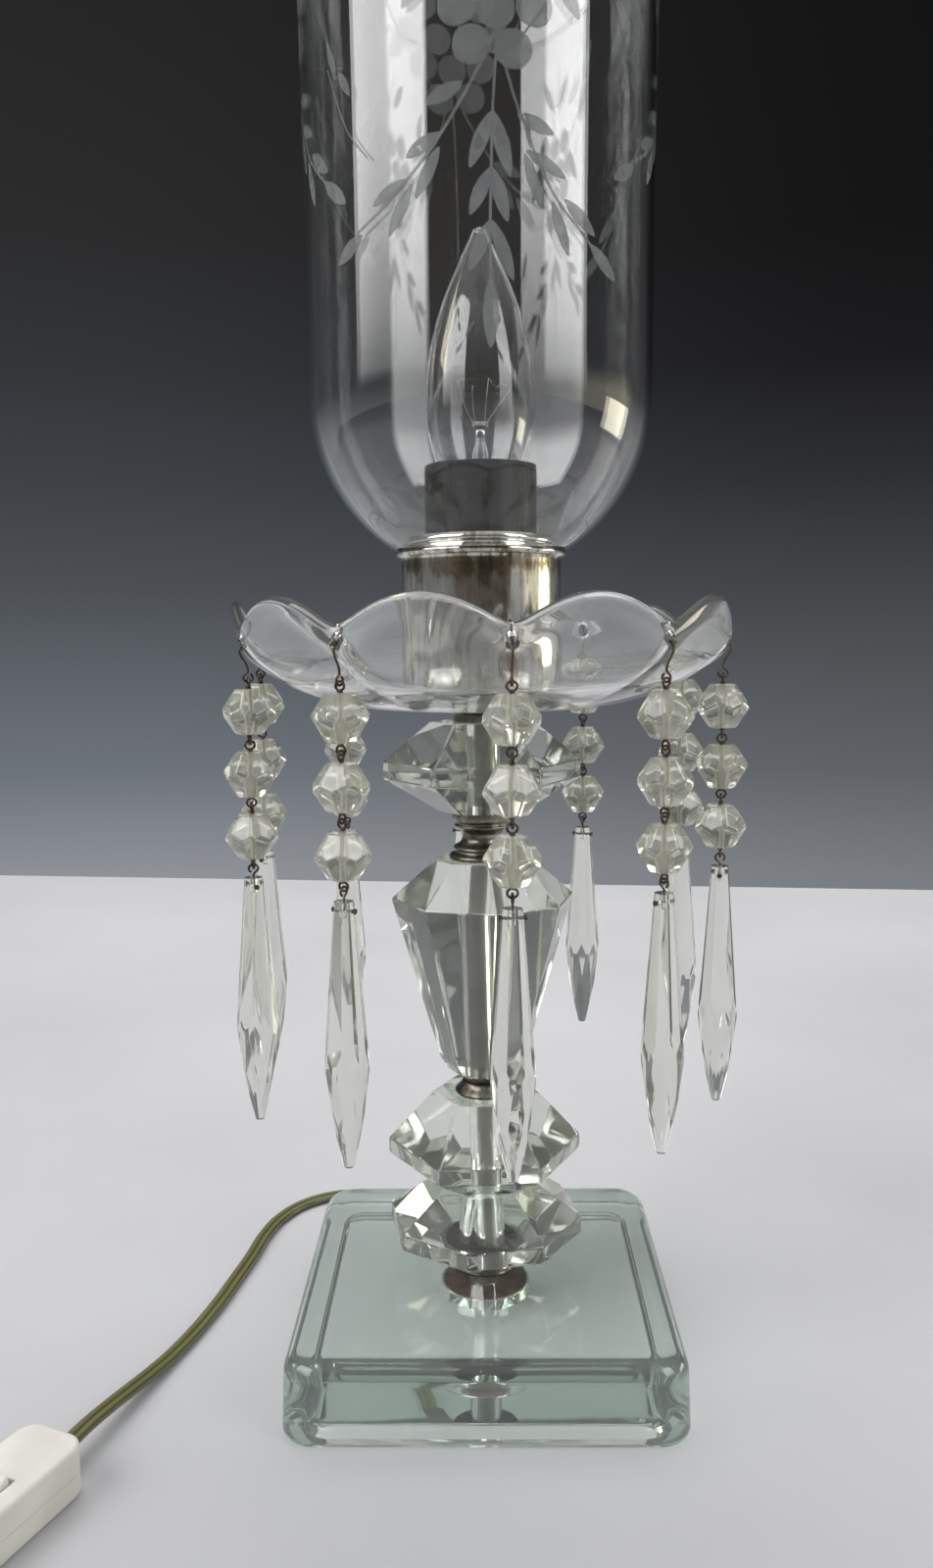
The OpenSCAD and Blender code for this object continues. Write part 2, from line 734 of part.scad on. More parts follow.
// Plan of the switch body: a rectangle with round corners, along +X from the origin
module switch_plan(inset) {
    r = 6;
    for (x = [r, switch_l - r], y = [r - switch_w / 2, switch_w / 2 - r])
        translate([x, y]) circle(r = r - inset, $fn = 48);
    translate([r, -switch_w / 2 + inset]) square([switch_l - 2 * r, switch_w - 2 * inset]);
    translate([inset, -switch_w / 2 + r]) square([switch_l - 2 * inset, switch_w - 2 * r]);
}

// Puts its children where the switch lies, with X along it and the table at z = 0
module at_switch() {
    translate(switch_start) rotate([0, 0, switch_angle]) children();
}

// The way of the cord into both ends of the switch, with play all round
module switch_cord_way() {
    play = 0.3;
    for (x = [-1, switch_l - 3])
        translate([x, -cord_w / 2 - play, switch_cord_z - cord_t / 2 - play])
            cube([4, cord_w + 2 * play, cord_t + 2 * play]);
}

switch_wall = 1.8;
switch_split_z = 6.6;
screw_x = [10, switch_l - 10];
rocker_z = switch_h - 2.4;
rocker_x = switch_l / 2;

module switch_bottom() {
    color([0.90, 0.89, 0.85])
        at_switch()
            difference() {
                union() {
                    linear_extrude(switch_split_z)
                        difference() {
                            switch_plan(0);
                            switch_plan(switch_wall);
                        }
                    linear_extrude(switch_wall) switch_plan(0.5);
                    for (x = screw_x) translate([x, 0, 0]) cylinder(r = 3.6, h = 5.2, $fn = 48);
                }
                for (x = screw_x) {
                    translate([x, 0, -1]) cylinder(r = 1.5, h = 9, $fn = 32);
                    translate([x, 0, -1]) cylinder(r = 2.9, h = 3, $fn = 32);
                }
                switch_cord_way();
            }
}

module switch_top() {
    h = switch_h - switch_split_z - 0.1;
    color([0.92, 0.91, 0.88])
        at_switch()
            difference() {
                union() {
                    translate([0, 0, switch_split_z + 0.1])
                        linear_extrude(h)
                            difference() {
                                switch_plan(0);
                                switch_plan(switch_wall);
                            }
                    translate([0, 0, switch_h - switch_wall]) linear_extrude(switch_wall) switch_plan(0.5);
                    translate([rocker_x - 11, -7.4, switch_h - 6]) cube([22, 14.8, 5]);
                    for (x = screw_x)
                        translate([x, 0, 9.4]) cylinder(r = 3.2, h = switch_h - 10.4, $fn = 48);
                }
                translate([rocker_x - 9, -4.9, 0]) cube([18, 9.8, 40]);
                translate([rocker_x, 0, rocker_z]) rotate([90, 0, 0])
                    cylinder(r = 1.25, h = 13, center = true, $fn = 48);
                for (x = screw_x) translate([x, 0, 5]) cylinder(r = 1.45, h = 8, $fn = 32);
                switch_cord_way();
            }
}

module switch_rocker() {
    tilt = 12;
    color([0.93, 0.92, 0.89])
        at_switch()
            translate([rocker_x, 0, rocker_z]) rotate([0, tilt, 0]) rotate([90, 0, 0]) {
                cylinder(r = 1.2, h = 12.4, center = true, $fn = 48);
                translate([0, 0, -4.5])
                    linear_extrude(9)
                        polygon([
                            [-8, -0.4], [-5, -3.6], [-2, -4.6], [2, -4.6], [5, -3.6], [8, -0.4],
                            [8, 3.4], [4, 2.5], [0, 2.2], [-4, 2.5], [-8, 3.4]
                        ]);
            }
}

module switch_contacts() {
    color([0.80, 0.66, 0.34])
        at_switch()
            for (s = [-1, 1]) {
                translate([rocker_x + s * 7 - 5, -2, switch_wall]) cube([10, 4, 0.6]);
                translate([rocker_x + s * 7 - 0.5, -2, switch_wall]) cube([1, 4, 3.4]);
            }
}

module switch_screws() {
    color([0.62, 0.62, 0.60])
        at_switch()
            for (x = screw_x) {
                translate([x, 0, 0.4]) cylinder(r = 2.7, h = 1.6, $fn = 32);
                translate([x, 0, 1.9]) cylinder(r = 1.4, h = 10, $fn = 32);
            }
}

module cord_lead() {
    echo(cord_lead_length = route_length(lead_route));
    color([0.60, 0.55, 0.33]) flat_tube(lead_route, cord_w, cord_t, 8, 0, 0);
}

tail_route = [
    for (i = [0 : 5])
        let (t = i / 5 * (1 - cord_end_gap / tail_l))
        [between(switch_end_x, coil_start_x, t), between(switch_end_y, coil_start_y, t),
         between(switch_cord_z, coil_z, t * t * (3 - 2 * t))]
];

module cord_tail() {
    echo(cord_tail_length = route_length(tail_route));
    color([0.60, 0.55, 0.33]) flat_tube(tail_route, cord_w, cord_t, 8, 0, 90);
}

// A point of the coil after u turns: the spiral turns back half way, where it climbs a layer
function coil_point(u) =
    let (
        half = coil_turns / 2,
        away = abs(u - half),
        r = coil_inner_r + coil_pitch * away,
        climb = min(max((u - half) * 2 + 0.5, 0), 1),
        a = coil_start_angle - 360 * u
    )
    [coil_x + r * cos(a), coil_y + r * sin(a), coil_z + coil_layer * climb];

coil_rings = round(coil_turns * coil_steps);
coil_route = [for (i = [0 : coil_rings]) coil_point(coil_turns * i / coil_rings)];

// Least distance between two cord sections: flat ones on edge, with round ends
function edge_gap(a, b) =
    let (
        flat = norm([a[0] - b[0], a[1] - b[1]]),
        tall = max(0, abs(a[2] - b[2]) - (cord_w - cord_t))
    )
    norm([flat, tall]) - cord_t;

module cord_coil() {
    gaps = [
        for (i = [0 : coil_rings], j = [i + coil_steps / 2 : coil_rings])
            edge_gap(coil_route[i], coil_route[j])
    ];
    echo(cord_coil_length = route_length(coil_route));
    echo(cord_coil_least_gap = min(gaps));
    color([0.60, 0.55, 0.33]) flat_tube(coil_route, cord_w, cord_t, 6, 90, 90);
}

module cord_end() {
    echo(cord_end_length = route_length(end_route), coil_end = coil_route[coil_rings]);
    color([0.60, 0.55, 0.33]) flat_tube(end_route, cord_w, cord_t, 8, 90, 180);
}

module coil_tie() {
    low = coil_inner_r - 2.4;
    wide = coil_outer_r - coil_inner_r + 4.8;
    tall = coil_layer + cord_w + 1.4;
    color([0.16, 0.16, 0.16])
        translate([coil_x, coil_y, 0.05]) rotate([0, 0, 20])
            difference() {
                translate([low, -3, 0]) cube([wide, 6, tall]);
                translate([low + 0.5, -4, 0.5]) cube([wide - 1, 8, tall - 1]);
            }
}

// Puts its children at the plug's cord end, with X along the plug
module at_plug() {
    translate([plug_start[0], plug_start[1], plug_z]) rotate([0, 0, plug_angle]) children();
}

module plug_body() {
    corner = 4;
    color([0.60, 0.55, 0.33])
        at_plug()
            difference() {
                hull() {
                    translate([0.5, 0, 0]) rotate([0, 90, 0])
                        cylinder(r = 4.4, h = 1, center = true, $fn = 24);
                    for (x = [9, plug_l - corner], y = [corner - plug_w / 2, plug_w / 2 - corner])
                        translate([x, y, -plug_h / 2]) cylinder(r = corner, h = plug_h, $fn = 24);
                    translate([plug_l - 1, -plug_w / 2 + 3, -plug_h / 2 + 1])
                        cube([1, plug_w - 6, plug_h - 2]);
                }
                for (y = [-blade_y, blade_y])
                    translate([plug_l - blade_root - 0.2, y - blade_t / 2 - 0.05, -blade_w / 2 - 0.05])
                        cube([blade_root + 1, blade_t + 0.1, blade_w + 0.1]);
            }
}

module plug_blades() {
    color([0.82, 0.72, 0.45])
        at_plug()
            for (y = [-blade_y, blade_y])
                translate([plug_l - blade_root, y - blade_t / 2, -blade_w / 2])
                    cube([blade_root + blade_l, blade_t, blade_w]);
}

base_block();
base_washer();
pipe_nuts();
stem_pipe();
foot_ring();
lower_crystal();
middle_crystal();
lower_spacer();
vase_crystal();
upper_spacer();
upper_crystal();
seat_ring();
bobeche();
holder_cup();
holder_ring();
socket_bracket();
socket_body();
socket_shell();
socket_contact();
socket_sleeve();
inner_cord();
shade();
bulb_contact();
bulb_cap();
bulb_glass();
bulb_stem();
bulb_filament();
bead_string(1);  // bead_string_1
bead_string(2);  // bead_string_2
bead_string(3);  // bead_string_3
bead_string(4);  // bead_string_4
bead_string(5);  // bead_string_5
bead_string(6);  // bead_string_6
bead_string(7);  // bead_string_7
bead_string(8);  // bead_string_8
bead_string(9);  // bead_string_9
bead_string(10);  // bead_string_10
prism(1);  // prism_1
prism(2);  // prism_2
prism(3);  // prism_3
prism(4);  // prism_4
prism(5);  // prism_5
prism(6);  // prism_6
prism(7);  // prism_7
prism(8);  // prism_8
prism(9);  // prism_9
prism(10);  // prism_10
switch_bottom();
switch_top();
switch_rocker();
switch_contacts();
switch_screws();
cord_lead();
cord_tail();
cord_coil();
cord_end();
coil_tie();
plug_body();
plug_blades();
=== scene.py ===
# A crystal table lamp: a clear hurricane shade in a chrome holder, a scalloped dish hung with bead
# strings and icicle prisms, a stem of cut crystals, a square glass base and a flat cord with a switch.
# Each section is one piece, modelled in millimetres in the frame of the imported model.
import math

import bmesh
import bpy
from mathutils import Matrix, Vector


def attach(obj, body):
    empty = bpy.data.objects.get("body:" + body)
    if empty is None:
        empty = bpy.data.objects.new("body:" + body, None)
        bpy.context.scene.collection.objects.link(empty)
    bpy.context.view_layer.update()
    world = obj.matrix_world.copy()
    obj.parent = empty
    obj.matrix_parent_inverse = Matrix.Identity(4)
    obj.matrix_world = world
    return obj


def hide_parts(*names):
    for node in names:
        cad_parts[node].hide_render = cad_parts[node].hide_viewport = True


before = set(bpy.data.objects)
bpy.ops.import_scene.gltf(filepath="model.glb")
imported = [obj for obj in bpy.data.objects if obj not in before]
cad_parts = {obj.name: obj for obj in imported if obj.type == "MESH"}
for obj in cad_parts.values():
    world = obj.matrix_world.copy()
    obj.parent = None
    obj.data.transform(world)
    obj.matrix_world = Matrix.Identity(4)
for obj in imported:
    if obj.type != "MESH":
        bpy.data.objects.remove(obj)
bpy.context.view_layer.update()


# --- Camera
# The photographer stood close, a little above the dish. The square base, the table's edge and the
# ring of strings give the place, and the lens follows from them.
camera = bpy.data.objects.new("camera", bpy.data.cameras.new("camera"))
bpy.context.scene.collection.objects.link(camera)
bpy.context.scene.camera = camera
camera.data.sensor_fit = 'VERTICAL'
camera.data.sensor_height = 36
camera.data.lens = 27.7
camera.data.clip_start = 0.01
camera.matrix_world = (
    Matrix.Translation((0, -0.4001, 0.2413))
    @ Matrix.Rotation(math.radians(0.76), 4, 'Z')
    @ Matrix.Rotation(math.radians(83.31), 4, 'X')
    @ Matrix.Rotation(math.radians(-0.43), 4, 'Z')
)


# --- Inline switch
# A two-part moulded housing with a rocker, white plastic that has yellowed a little. Two screws from
# below hold the halves together round the cord. Its moulded lettering and labels are left out.
def colour(code):
    """Linear RGBA of an sRGB hex value."""
    parts = [int(code[i:i + 2], 16) / 255 for i in (1, 3, 5)]
    return [c / 12.92 if c <= 0.04045 else ((c + 0.055) / 1.055) ** 2.4 for c in parts] + [1]


def new_material(name):
    """A material with an empty node tree, and the tree."""
    made = bpy.data.materials.new(name)
    made.use_nodes = True
    made.node_tree.nodes.clear()
    return made, made.node_tree


def add(tree, kind, values={}, links={}, stops=(), **settings):
    """Adds a node. Values and links go to its inputs, stops to its ramp, settings to the node itself."""
    made = tree.nodes.new("ShaderNode" + kind)
    for key, value in settings.items():
        setattr(made, key, value)
    for key, value in values.items():
        made.inputs[key].default_value = value
    for key, source in links.items():
        tree.links.new(getattr(source, "outputs", [source])[0], made.inputs[key])
    for i, (place, code) in enumerate(stops):
        ramp = made.color_ramp.elements
        stop = ramp[i] if i < 2 else ramp.new(place)
        stop.position, stop.color = place, colour(code)
    return made


def copied(*nodes):
    """The meshes of CAD nodes as one clean bmesh in millimetres, with flat faces made whole."""
    bm = bmesh.new()
    for node in nodes:
        bm.from_mesh(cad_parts[node].data)
    bmesh.ops.transform(bm, matrix=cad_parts[nodes[0]].matrix_world, verts=bm.verts)
    bmesh.ops.scale(bm, vec=(1000, 1000, 1000), verts=bm.verts)
    bmesh.ops.remove_doubles(bm, verts=bm.verts, dist=0.002)
    bmesh.ops.dissolve_limit(bm, angle_limit=math.radians(0.6), verts=bm.verts, edges=bm.edges)
    return bm


def soften(bm, width, segments=3, angle=25, where=lambda p: True):
    """Rounds the edges that are sharper than angle, and whose two ends both pass where."""
    sharp = [e for e in bm.edges if e.calc_face_angle(0) > math.radians(angle)
             and all(where(v.co) for v in e.verts)]
    bmesh.ops.bevel(bm, geom=sharp, offset=width, offset_type='OFFSET', affect='EDGES',
                    segments=segments, profile=0.5, material=-1, clamp_overlap=True)


def finished(name, bm, materials, body, nodes=(), smooth=30):
    """Makes the bmesh a piece in metres that rides on a body. Edges sharper than smooth stay sharp, and
    so do those between a face and a far larger one, which keeps large faces flat in a reflection."""
    far_larger = 15
    for face in bm.faces:
        face.smooth = smooth > 0
    for edge in bm.edges:
        sizes = sorted(face.calc_area() for face in edge.link_faces) or [1]
        edge.smooth = edge.calc_face_angle(0) < math.radians(smooth) and sizes[-1] < far_larger * sizes[0]
    bmesh.ops.scale(bm, vec=(0.001, 0.001, 0.001), verts=bm.verts)
    mesh = bpy.data.meshes.new(name)
    bm.to_mesh(mesh)
    bm.free()
    for material in materials:
        mesh.materials.append(material)
    made = bpy.data.objects.new(name, mesh)
    bpy.context.scene.collection.objects.link(made)
    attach(made, body)
    if nodes:
        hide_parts(*nodes)
    return made


# Moulded ABS: a soft sheen, faintly yellow, with dust in the fine texture of the mould
white_abs, tree = new_material("moulded ABS, aged white")
place = add(tree, "TexCoord")
stain = add(tree, "TexNoise", {"Scale": 60, "Detail": 3}, {"Vector": place.outputs["Object"]})
tone = add(tree, "ValToRGB", {}, {"Fac": stain}, stops=[(0.35, "#cfcdc5"), (0.7, "#dedcd6")])
grain = add(tree, "TexNoise", {"Scale": 2500, "Detail": 2}, {"Vector": place.outputs["Object"]})
relief = add(tree, "Bump", {"Strength": 0.12, "Distance": 0.0001}, {"Height": grain})
shine = add(tree, "MapRange", {"To Min": 0.3, "To Max": 0.45}, {"Value": stain})
add(tree, "OutputMaterial", {}, {"Surface": add(
    tree, "BsdfPrincipled", {"IOR": 1.54},
    {"Base Color": tone, "Roughness": shine, "Normal": relief})})

# Brass contacts and screws inside show only through the gap round the rocker
plain_brass, tree = new_material("sheet brass, plain")
place = add(tree, "TexCoord")
spots = add(tree, "TexNoise", {"Scale": 120, "Detail": 4}, {"Vector": place.outputs["Object"]})
tone = add(tree, "ValToRGB", {}, {"Fac": spots}, stops=[(0.3, "#9c7f45"), (0.7, "#c9ad6c")])
add(tree, "OutputMaterial", {}, {"Surface": add(
    tree, "BsdfPrincipled", {"Metallic": 1, "Roughness": 0.32}, {"Base Color": tone})})

zinc_steel, tree = new_material("zinc-plated steel")
place = add(tree, "TexCoord")
spots = add(tree, "TexNoise", {"Scale": 200, "Detail": 5}, {"Vector": place.outputs["Object"]})
tone = add(tree, "ValToRGB", {}, {"Fac": spots}, stops=[(0.3, "#8d8c86"), (0.7, "#b4b3ad")])
add(tree, "OutputMaterial", {}, {"Surface": add(
    tree, "BsdfPrincipled", {"Metallic": 1, "Roughness": 0.38}, {"Base Color": tone})})

switch_heading = math.radians(246.4)
at_switch = Matrix.Translation((-124.6, -74.4, 0)) @ Matrix.Rotation(switch_heading, 4, 'Z')
to_switch = at_switch.inverted()

for node, level in (("switch_bottom", 0), ("switch_top", 15)):
    bm = copied(node)
    bmesh.ops.transform(bm, matrix=to_switch, verts=bm.verts)
    rim = 1.2 if level else 0.8
    soften(bm, rim, 4, where=lambda p: abs(p.z - level) < 0.01 and not (20 < p.x < 42 and abs(p.y) < 8)
           and not (abs(p.y) < 4 and abs(abs(p.x - 31) - 21) < 4))
    if level:
        soften(bm, 0.5, 2, where=lambda p: abs(p.z - 15) < 0.01 and 21 < p.x < 41 and abs(p.y) < 6)
    soften(bm, 0.25, 1, 60, where=lambda p: 6 < p.z < 7.2 and (abs(p.y) > 9 or not 3 < p.x < 59))
    bmesh.ops.transform(bm, matrix=at_switch, verts=bm.verts)
    finished(node.replace("switch", "switch_half"), bm, [white_abs], "lamp", [node],
                           40)

rocker_line = [(-8, -0.4), (-5, -3.6), (-2, -4.6), (2, -4.6), (5, -3.6), (8, -0.4),
               (8, 3.4), (4, 2.5), (0, 2.2), (-4, 2.5), (-8, 3.4)]
bm = bmesh.new()
side = bm.faces.new([bm.verts.new((x, -4.5, z)) for x, z in rocker_line])
grown = bmesh.ops.extrude_face_region(bm, geom=[side])["geom"]
bmesh.ops.translate(bm, vec=(0, 9, 0), verts=[v for v in grown if isinstance(v, bmesh.types.BMVert)])
bmesh.ops.recalc_face_normals(bm, faces=bm.faces)
soften(bm, 0.6, 3, 35)
pins = bmesh.ops.create_cone(bm, cap_ends=True, segments=24, radius1=1.15, radius2=1.15, depth=12.3,
                             matrix=Matrix.Rotation(math.radians(90), 4, 'X'))
bmesh.ops.transform(bm, verts=bm.verts, matrix=(
    at_switch @ Matrix.Translation((31, 0, 12.6)) @ Matrix.Rotation(math.radians(12), 4, 'Y')))
rocker = finished("rocker_key", bm, [white_abs], "rocker", ["switch_rocker"], 40)
for node, material in (("switch_contacts", plain_brass), ("switch_screws", zinc_steel)):
    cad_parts[node].data.materials.clear()
    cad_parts[node].data.materials.append(material)


# --- Cord from the base to the switch
# Flat twin lamp cord: two stranded copper conductors in clear vinyl that has aged to olive gold. It
# leaves the base by the groove underneath and lies on the table in loose bends.
def through(points, parts):
    """A smooth line through the points, with so many parts between each two."""
    p = [Vector(a) for a in points]
    p = [2 * p[0] - p[1]] + p + [2 * p[-1] - p[-2]]
    line = []
    for a, b, c, d in zip(p, p[1:], p[2:], p[3:]):
        for t in [k / parts for k in range(parts)]:
            line.append(0.5 * (2 * b + (c - a) * t + (2 * a - 5 * b + 4 * c - d) * t * t
                               + (3 * b - a - 3 * c + d) * t ** 3))
    return line + [p[-2]]


def swept(bm, section, route, rolls=None, wide=None, sizes=None):
    """Carries a flat section along a route. Its X stays level and turns by the roll, or points along wide."""
    along = bm.verts.layers.float.get("along") or bm.verts.layers.float.new("along")
    across = bm.verts.layers.float.get("across") or bm.verts.layers.float.new("across")
    places, length = [], 0.0
    for i, point in enumerate(route):
        ahead = (route[min(i + 1, len(route) - 1)] - route[max(i - 1, 0)]).normalized()
        x = (wide or ahead.cross(Vector((0, 0, 1)))).normalized()
        y = x.cross(ahead).normalized()
        roll = math.radians(rolls[i]) if rolls else 0.0
        x, y = x * math.cos(roll) + y * math.sin(roll), y * math.cos(roll) - x * math.sin(roll)
        size = sizes[i] if sizes else (1, 1)
        place = Matrix((x * size[0], y * size[1], ahead)).transposed().to_4x4()
        length += (point - route[i - 1]).length if i else 0.0
        places.append((Matrix.Translation(point) @ place, length))
    verts = [bm.verts.new((x, y, 0)) for x, y in section]
    for vert, (x, y) in zip(verts, section):
        vert[across] = x
    first = bm.faces.new(verts)
    ring = list(first.edges)
    bmesh.ops.transform(bm, matrix=places[0][0], verts=verts)
    for (before, _), (place, length) in zip(places, places[1:]):
        grown = bmesh.ops.extrude_edge_only(bm, edges=ring)["geom"]
        fresh = {v for v in grown if isinstance(v, bmesh.types.BMVert)}
        ring = [e for e in grown if isinstance(e, bmesh.types.BMEdge) and set(e.verts) <= fresh]
        bmesh.ops.transform(bm, matrix=place @ before.inverted(), verts=list(fresh))
        for vert in fresh:
            vert[along] = length
    bmesh.ops.edgeloop_fill(bm, edges=ring)


def arc(x, y, radius, start, end, steps):
    """Points of an arc in the plane, from one angle to another."""
    turns = [math.radians(start + (end - start) * k / steps) for k in range(steps + 1)]
    return [(x + radius * math.cos(a), y + radius * math.sin(a)) for a in turns]


# Clear vinyl over copper strands: the strands show as fine gold lines, darker between the conductors
vinyl, tree = new_material("clear vinyl over copper strands")
side = add(tree, "Attribute", attribute_name="across")
run = add(tree, "Attribute", attribute_name="along")
away = add(tree, "Math", {}, {0: side.outputs["Fac"]}, operation='ABSOLUTE')
off = add(tree, "Math", {}, {0: add(tree, "Math", {1: 1.4}, {0: away}, operation='SUBTRACT')},
          operation='ABSOLUTE')
middle = add(tree, "MapRange", {"From Min": 0.4, "From Max": 1.4}, {"Value": off})
drawn = add(tree, "Mapping", {"Scale": (2.2, 0.06, 1)}, {"Vector": add(
    tree, "CombineXYZ", {}, {"X": side.outputs["Fac"], "Y": run.outputs["Fac"]})})
strand = add(tree, "TexNoise", {"Scale": 1, "Detail": 3}, {"Vector": drawn})
mixed = add(tree, "Math", {1: 0.75}, {0: strand, 2: middle}, operation='MULTIPLY_ADD')
tone = add(tree, "ValToRGB", {}, {"Fac": mixed}, stops=[(0.3, "#707047"), (0.6, "#62623d"), (1.0, "#4b4a2f")])
add(tree, "OutputMaterial", {}, {"Surface": add(
    tree, "BsdfPrincipled", {"Roughness": 0.25, "IOR": 1.53, "Coat Weight": 0.6, "Coat Roughness": 0.08},
    {"Base Color": tone})})

twin = arc(1.4, 0, 1.4, -128, 128, 9) + arc(-1.4, 0, 1.4, 52, 308, 9)
lead_points = [
    (-19, 61.5, 1.5), (-23, 74, 1.5), (-29, 87, 1.5), (-39, 98, 1.5), (-52, 104, 1.5), (-66, 102, 1.5),
    (-78, 94, 1.5), (-86, 81, 1.5), (-90, 66, 1.5), (-92, 50, 1.5), (-95, 32, 1.5), (-98, 15, 1.5),
    (-102, -2, 1.5), (-107, -19, 2), (-112, -34, 3.5), (-117, -49, 5.5), (-121, -62, 7), (-124.6, -74.4, 7.5)]
lead_route = through(lead_points, 5)
bm = bmesh.new()
swept(bm, twin, lead_route)
bmesh.ops.recalc_face_normals(bm, faces=bm.faces)
lead = finished("lamp_cord", bm, [vinyl], "lamp", ["cord_lead"], 50)


# --- Plug
# A moulded two-blade plug in the cord's own vinyl, with a tapered neck that keeps the cord from
# kinking. Its folded brass blades have a round hole near the tip.
moulded_gold, tree = new_material("moulded vinyl, olive gold")
place = add(tree, "TexCoord")
cloud = add(tree, "TexNoise", {"Scale": 90, "Detail": 2}, {"Vector": place.outputs["Object"]})
tone = add(tree, "ValToRGB", {}, {"Fac": cloud}, stops=[(0.3, "#7d754c"), (0.7, "#968f66")])
add(tree, "OutputMaterial", {}, {"Surface": add(
    tree, "BsdfPrincipled", {"Roughness": 0.3, "IOR": 1.53}, {"Base Color": tone})})

end_points = [(-233.7, -149.5, 9.9), (-233.9, -138, 9.3), (-233.2, -126, 8.2), (-231.2, -114.5, 7.1),
              (-228, -104, 6.3), (-223.5, -94, 6)]
end_route = through(end_points, 5)
at_plug = Matrix.Translation((-223.5, -94, 6)) @ Matrix.Rotation(math.radians(65.8), 4, 'Z')


def cut_out(bm, cutters):
    """The bmesh less the cutters, as a new bmesh."""
    made = []
    for part in [bm] + cutters:
        bmesh.ops.recalc_face_normals(part, faces=part.faces)
        mesh = bpy.data.meshes.new("blank")
        part.to_mesh(mesh)
        part.free()
        made.append(bpy.data.objects.new("blank", mesh))
        bpy.context.scene.collection.objects.link(made[-1])
    for cutter in made[1:]:
        change = made[0].modifiers.new("cut", 'BOOLEAN')
        change.operation, change.solver, change.object = 'DIFFERENCE', 'EXACT', cutter
    result = bmesh.new()
    result.from_object(made[0], bpy.context.evaluated_depsgraph_get())
    for blank in made:
        mesh = blank.data
        bpy.data.objects.remove(blank)
        bpy.data.meshes.remove(mesh)
    return result


bm = bmesh.new()
for x, wide, high, power in ((0, 4.4, 4.4, 2), (2, 4.8, 4.5, 2), (8.5, 10, 5.6, 3), (12, 11, 6, 4),
                             (23, 11, 6, 4), (26, 10.4, 5.5, 4), (27, 9.2, 4.4, 4)):
    for k in range(32):
        c, s = math.cos(math.tau * k / 32), math.sin(math.tau * k / 32)
        reach = (abs(c) ** power + abs(s) ** power) ** (-1 / power)
        bm.verts.new((x, wide * reach * c, high * reach * s))
bmesh.ops.convex_hull(bm, input=bm.verts)
bmesh.ops.dissolve_limit(bm, angle_limit=math.radians(1), verts=bm.verts, edges=bm.edges)
bmesh.ops.transform(bm, matrix=at_plug, verts=bm.verts)
neck = end_route[-11:]
taper = [(1.55 + 1.55 * (k / 10) ** 1.5, 1.3 + 1.5 * (k / 10) ** 1.5) for k in range(11)]
swept(bm, arc(0, 0, 1.4, 0, 345, 23), neck, sizes=taper)
bmesh.ops.recalc_face_normals(bm, faces=bm.faces)
plug = finished("plug_moulding", bm, [moulded_gold], "lamp", ["plug_body"], 35)

bm = copied("plug_blades")
holes = []
for y in (-6.35, 6.35):
    holes.append(bmesh.new())
    bmesh.ops.create_cone(holes[-1], cap_ends=True, segments=24, radius1=1.6, radius2=1.6, depth=6, matrix=(
        at_plug @ Matrix.Translation((40, y, 0)) @ Matrix.Rotation(math.radians(90), 4, 'X')))
bm = cut_out(bm, holes)
soften(bm, 0.3, 2, 60)
blades = finished("plug_prongs", bm, [plain_brass], "lamp", ["plug_blades"], 40)


# --- Spare cord and its tie
# The rest of the cord, which the photo doesn't show, is wound on edge in two layers for storage,
# held by a black band, with the plug beside it.
tail = []
for k in range(10):
    t = k / 9
    tail.append((Vector((-149.42 - 14.41 * t, -131.21 - 32.99 * t, 7.5 - 3.9 * t * t * (3 - 2 * t))), 90 * t))
winding = []
turns = 7.435
for k in range(1, 358):
    u = turns * k / 357
    away, angle = abs(u - turns / 2), math.radians(336.4 - 360 * u)
    climb = min(max((u - turns / 2) * 2 + 0.5, 0), 1)
    radius = 23.1 + 3.6 * away
    winding.append((Vector((-197.26 + radius * math.cos(angle), -149.59 + radius * math.sin(angle),
                            3.6 + 6.3 * climb)), 90))
last = [(p, 90 + 90 * k / (len(end_route) - 1)) for k, p in enumerate(end_route)][2:]
spare = tail + winding + last
bm = bmesh.new()
swept(bm, twin, [p for p, _ in spare], [roll for _, roll in spare])
bmesh.ops.recalc_face_normals(bm, faces=bm.faces)
main_cord = finished("spare_cord", bm, [vinyl], "lamp", ["cord_tail", "cord_coil", "cord_end"], 50)

black_band, tree = new_material("woven polyester band, black")
place = add(tree, "TexCoord")
# The weave is 0.6 mm a thread
weave = add(tree, "TexWave", {"Scale": 260, "Distortion": 1.0}, {"Vector": place.outputs["Object"]})
tone = add(tree, "ValToRGB", {}, {"Fac": weave}, stops=[(0.2, "#1d1d1e"), (0.8, "#2e2e30")])
relief = add(tree, "Bump", {"Strength": 0.4, "Distance": 0.0002}, {"Height": weave})
add(tree, "OutputMaterial", {}, {"Surface": add(
    tree, "BsdfPrincipled", {"Roughness": 0.8}, {"Base Color": tone, "Normal": relief})})
bm = copied("coil_tie")
soften(bm, 0.45, 3, 60)
tie = finished("coil_band", bm, [black_band], "lamp", ["coil_tie"], 40)


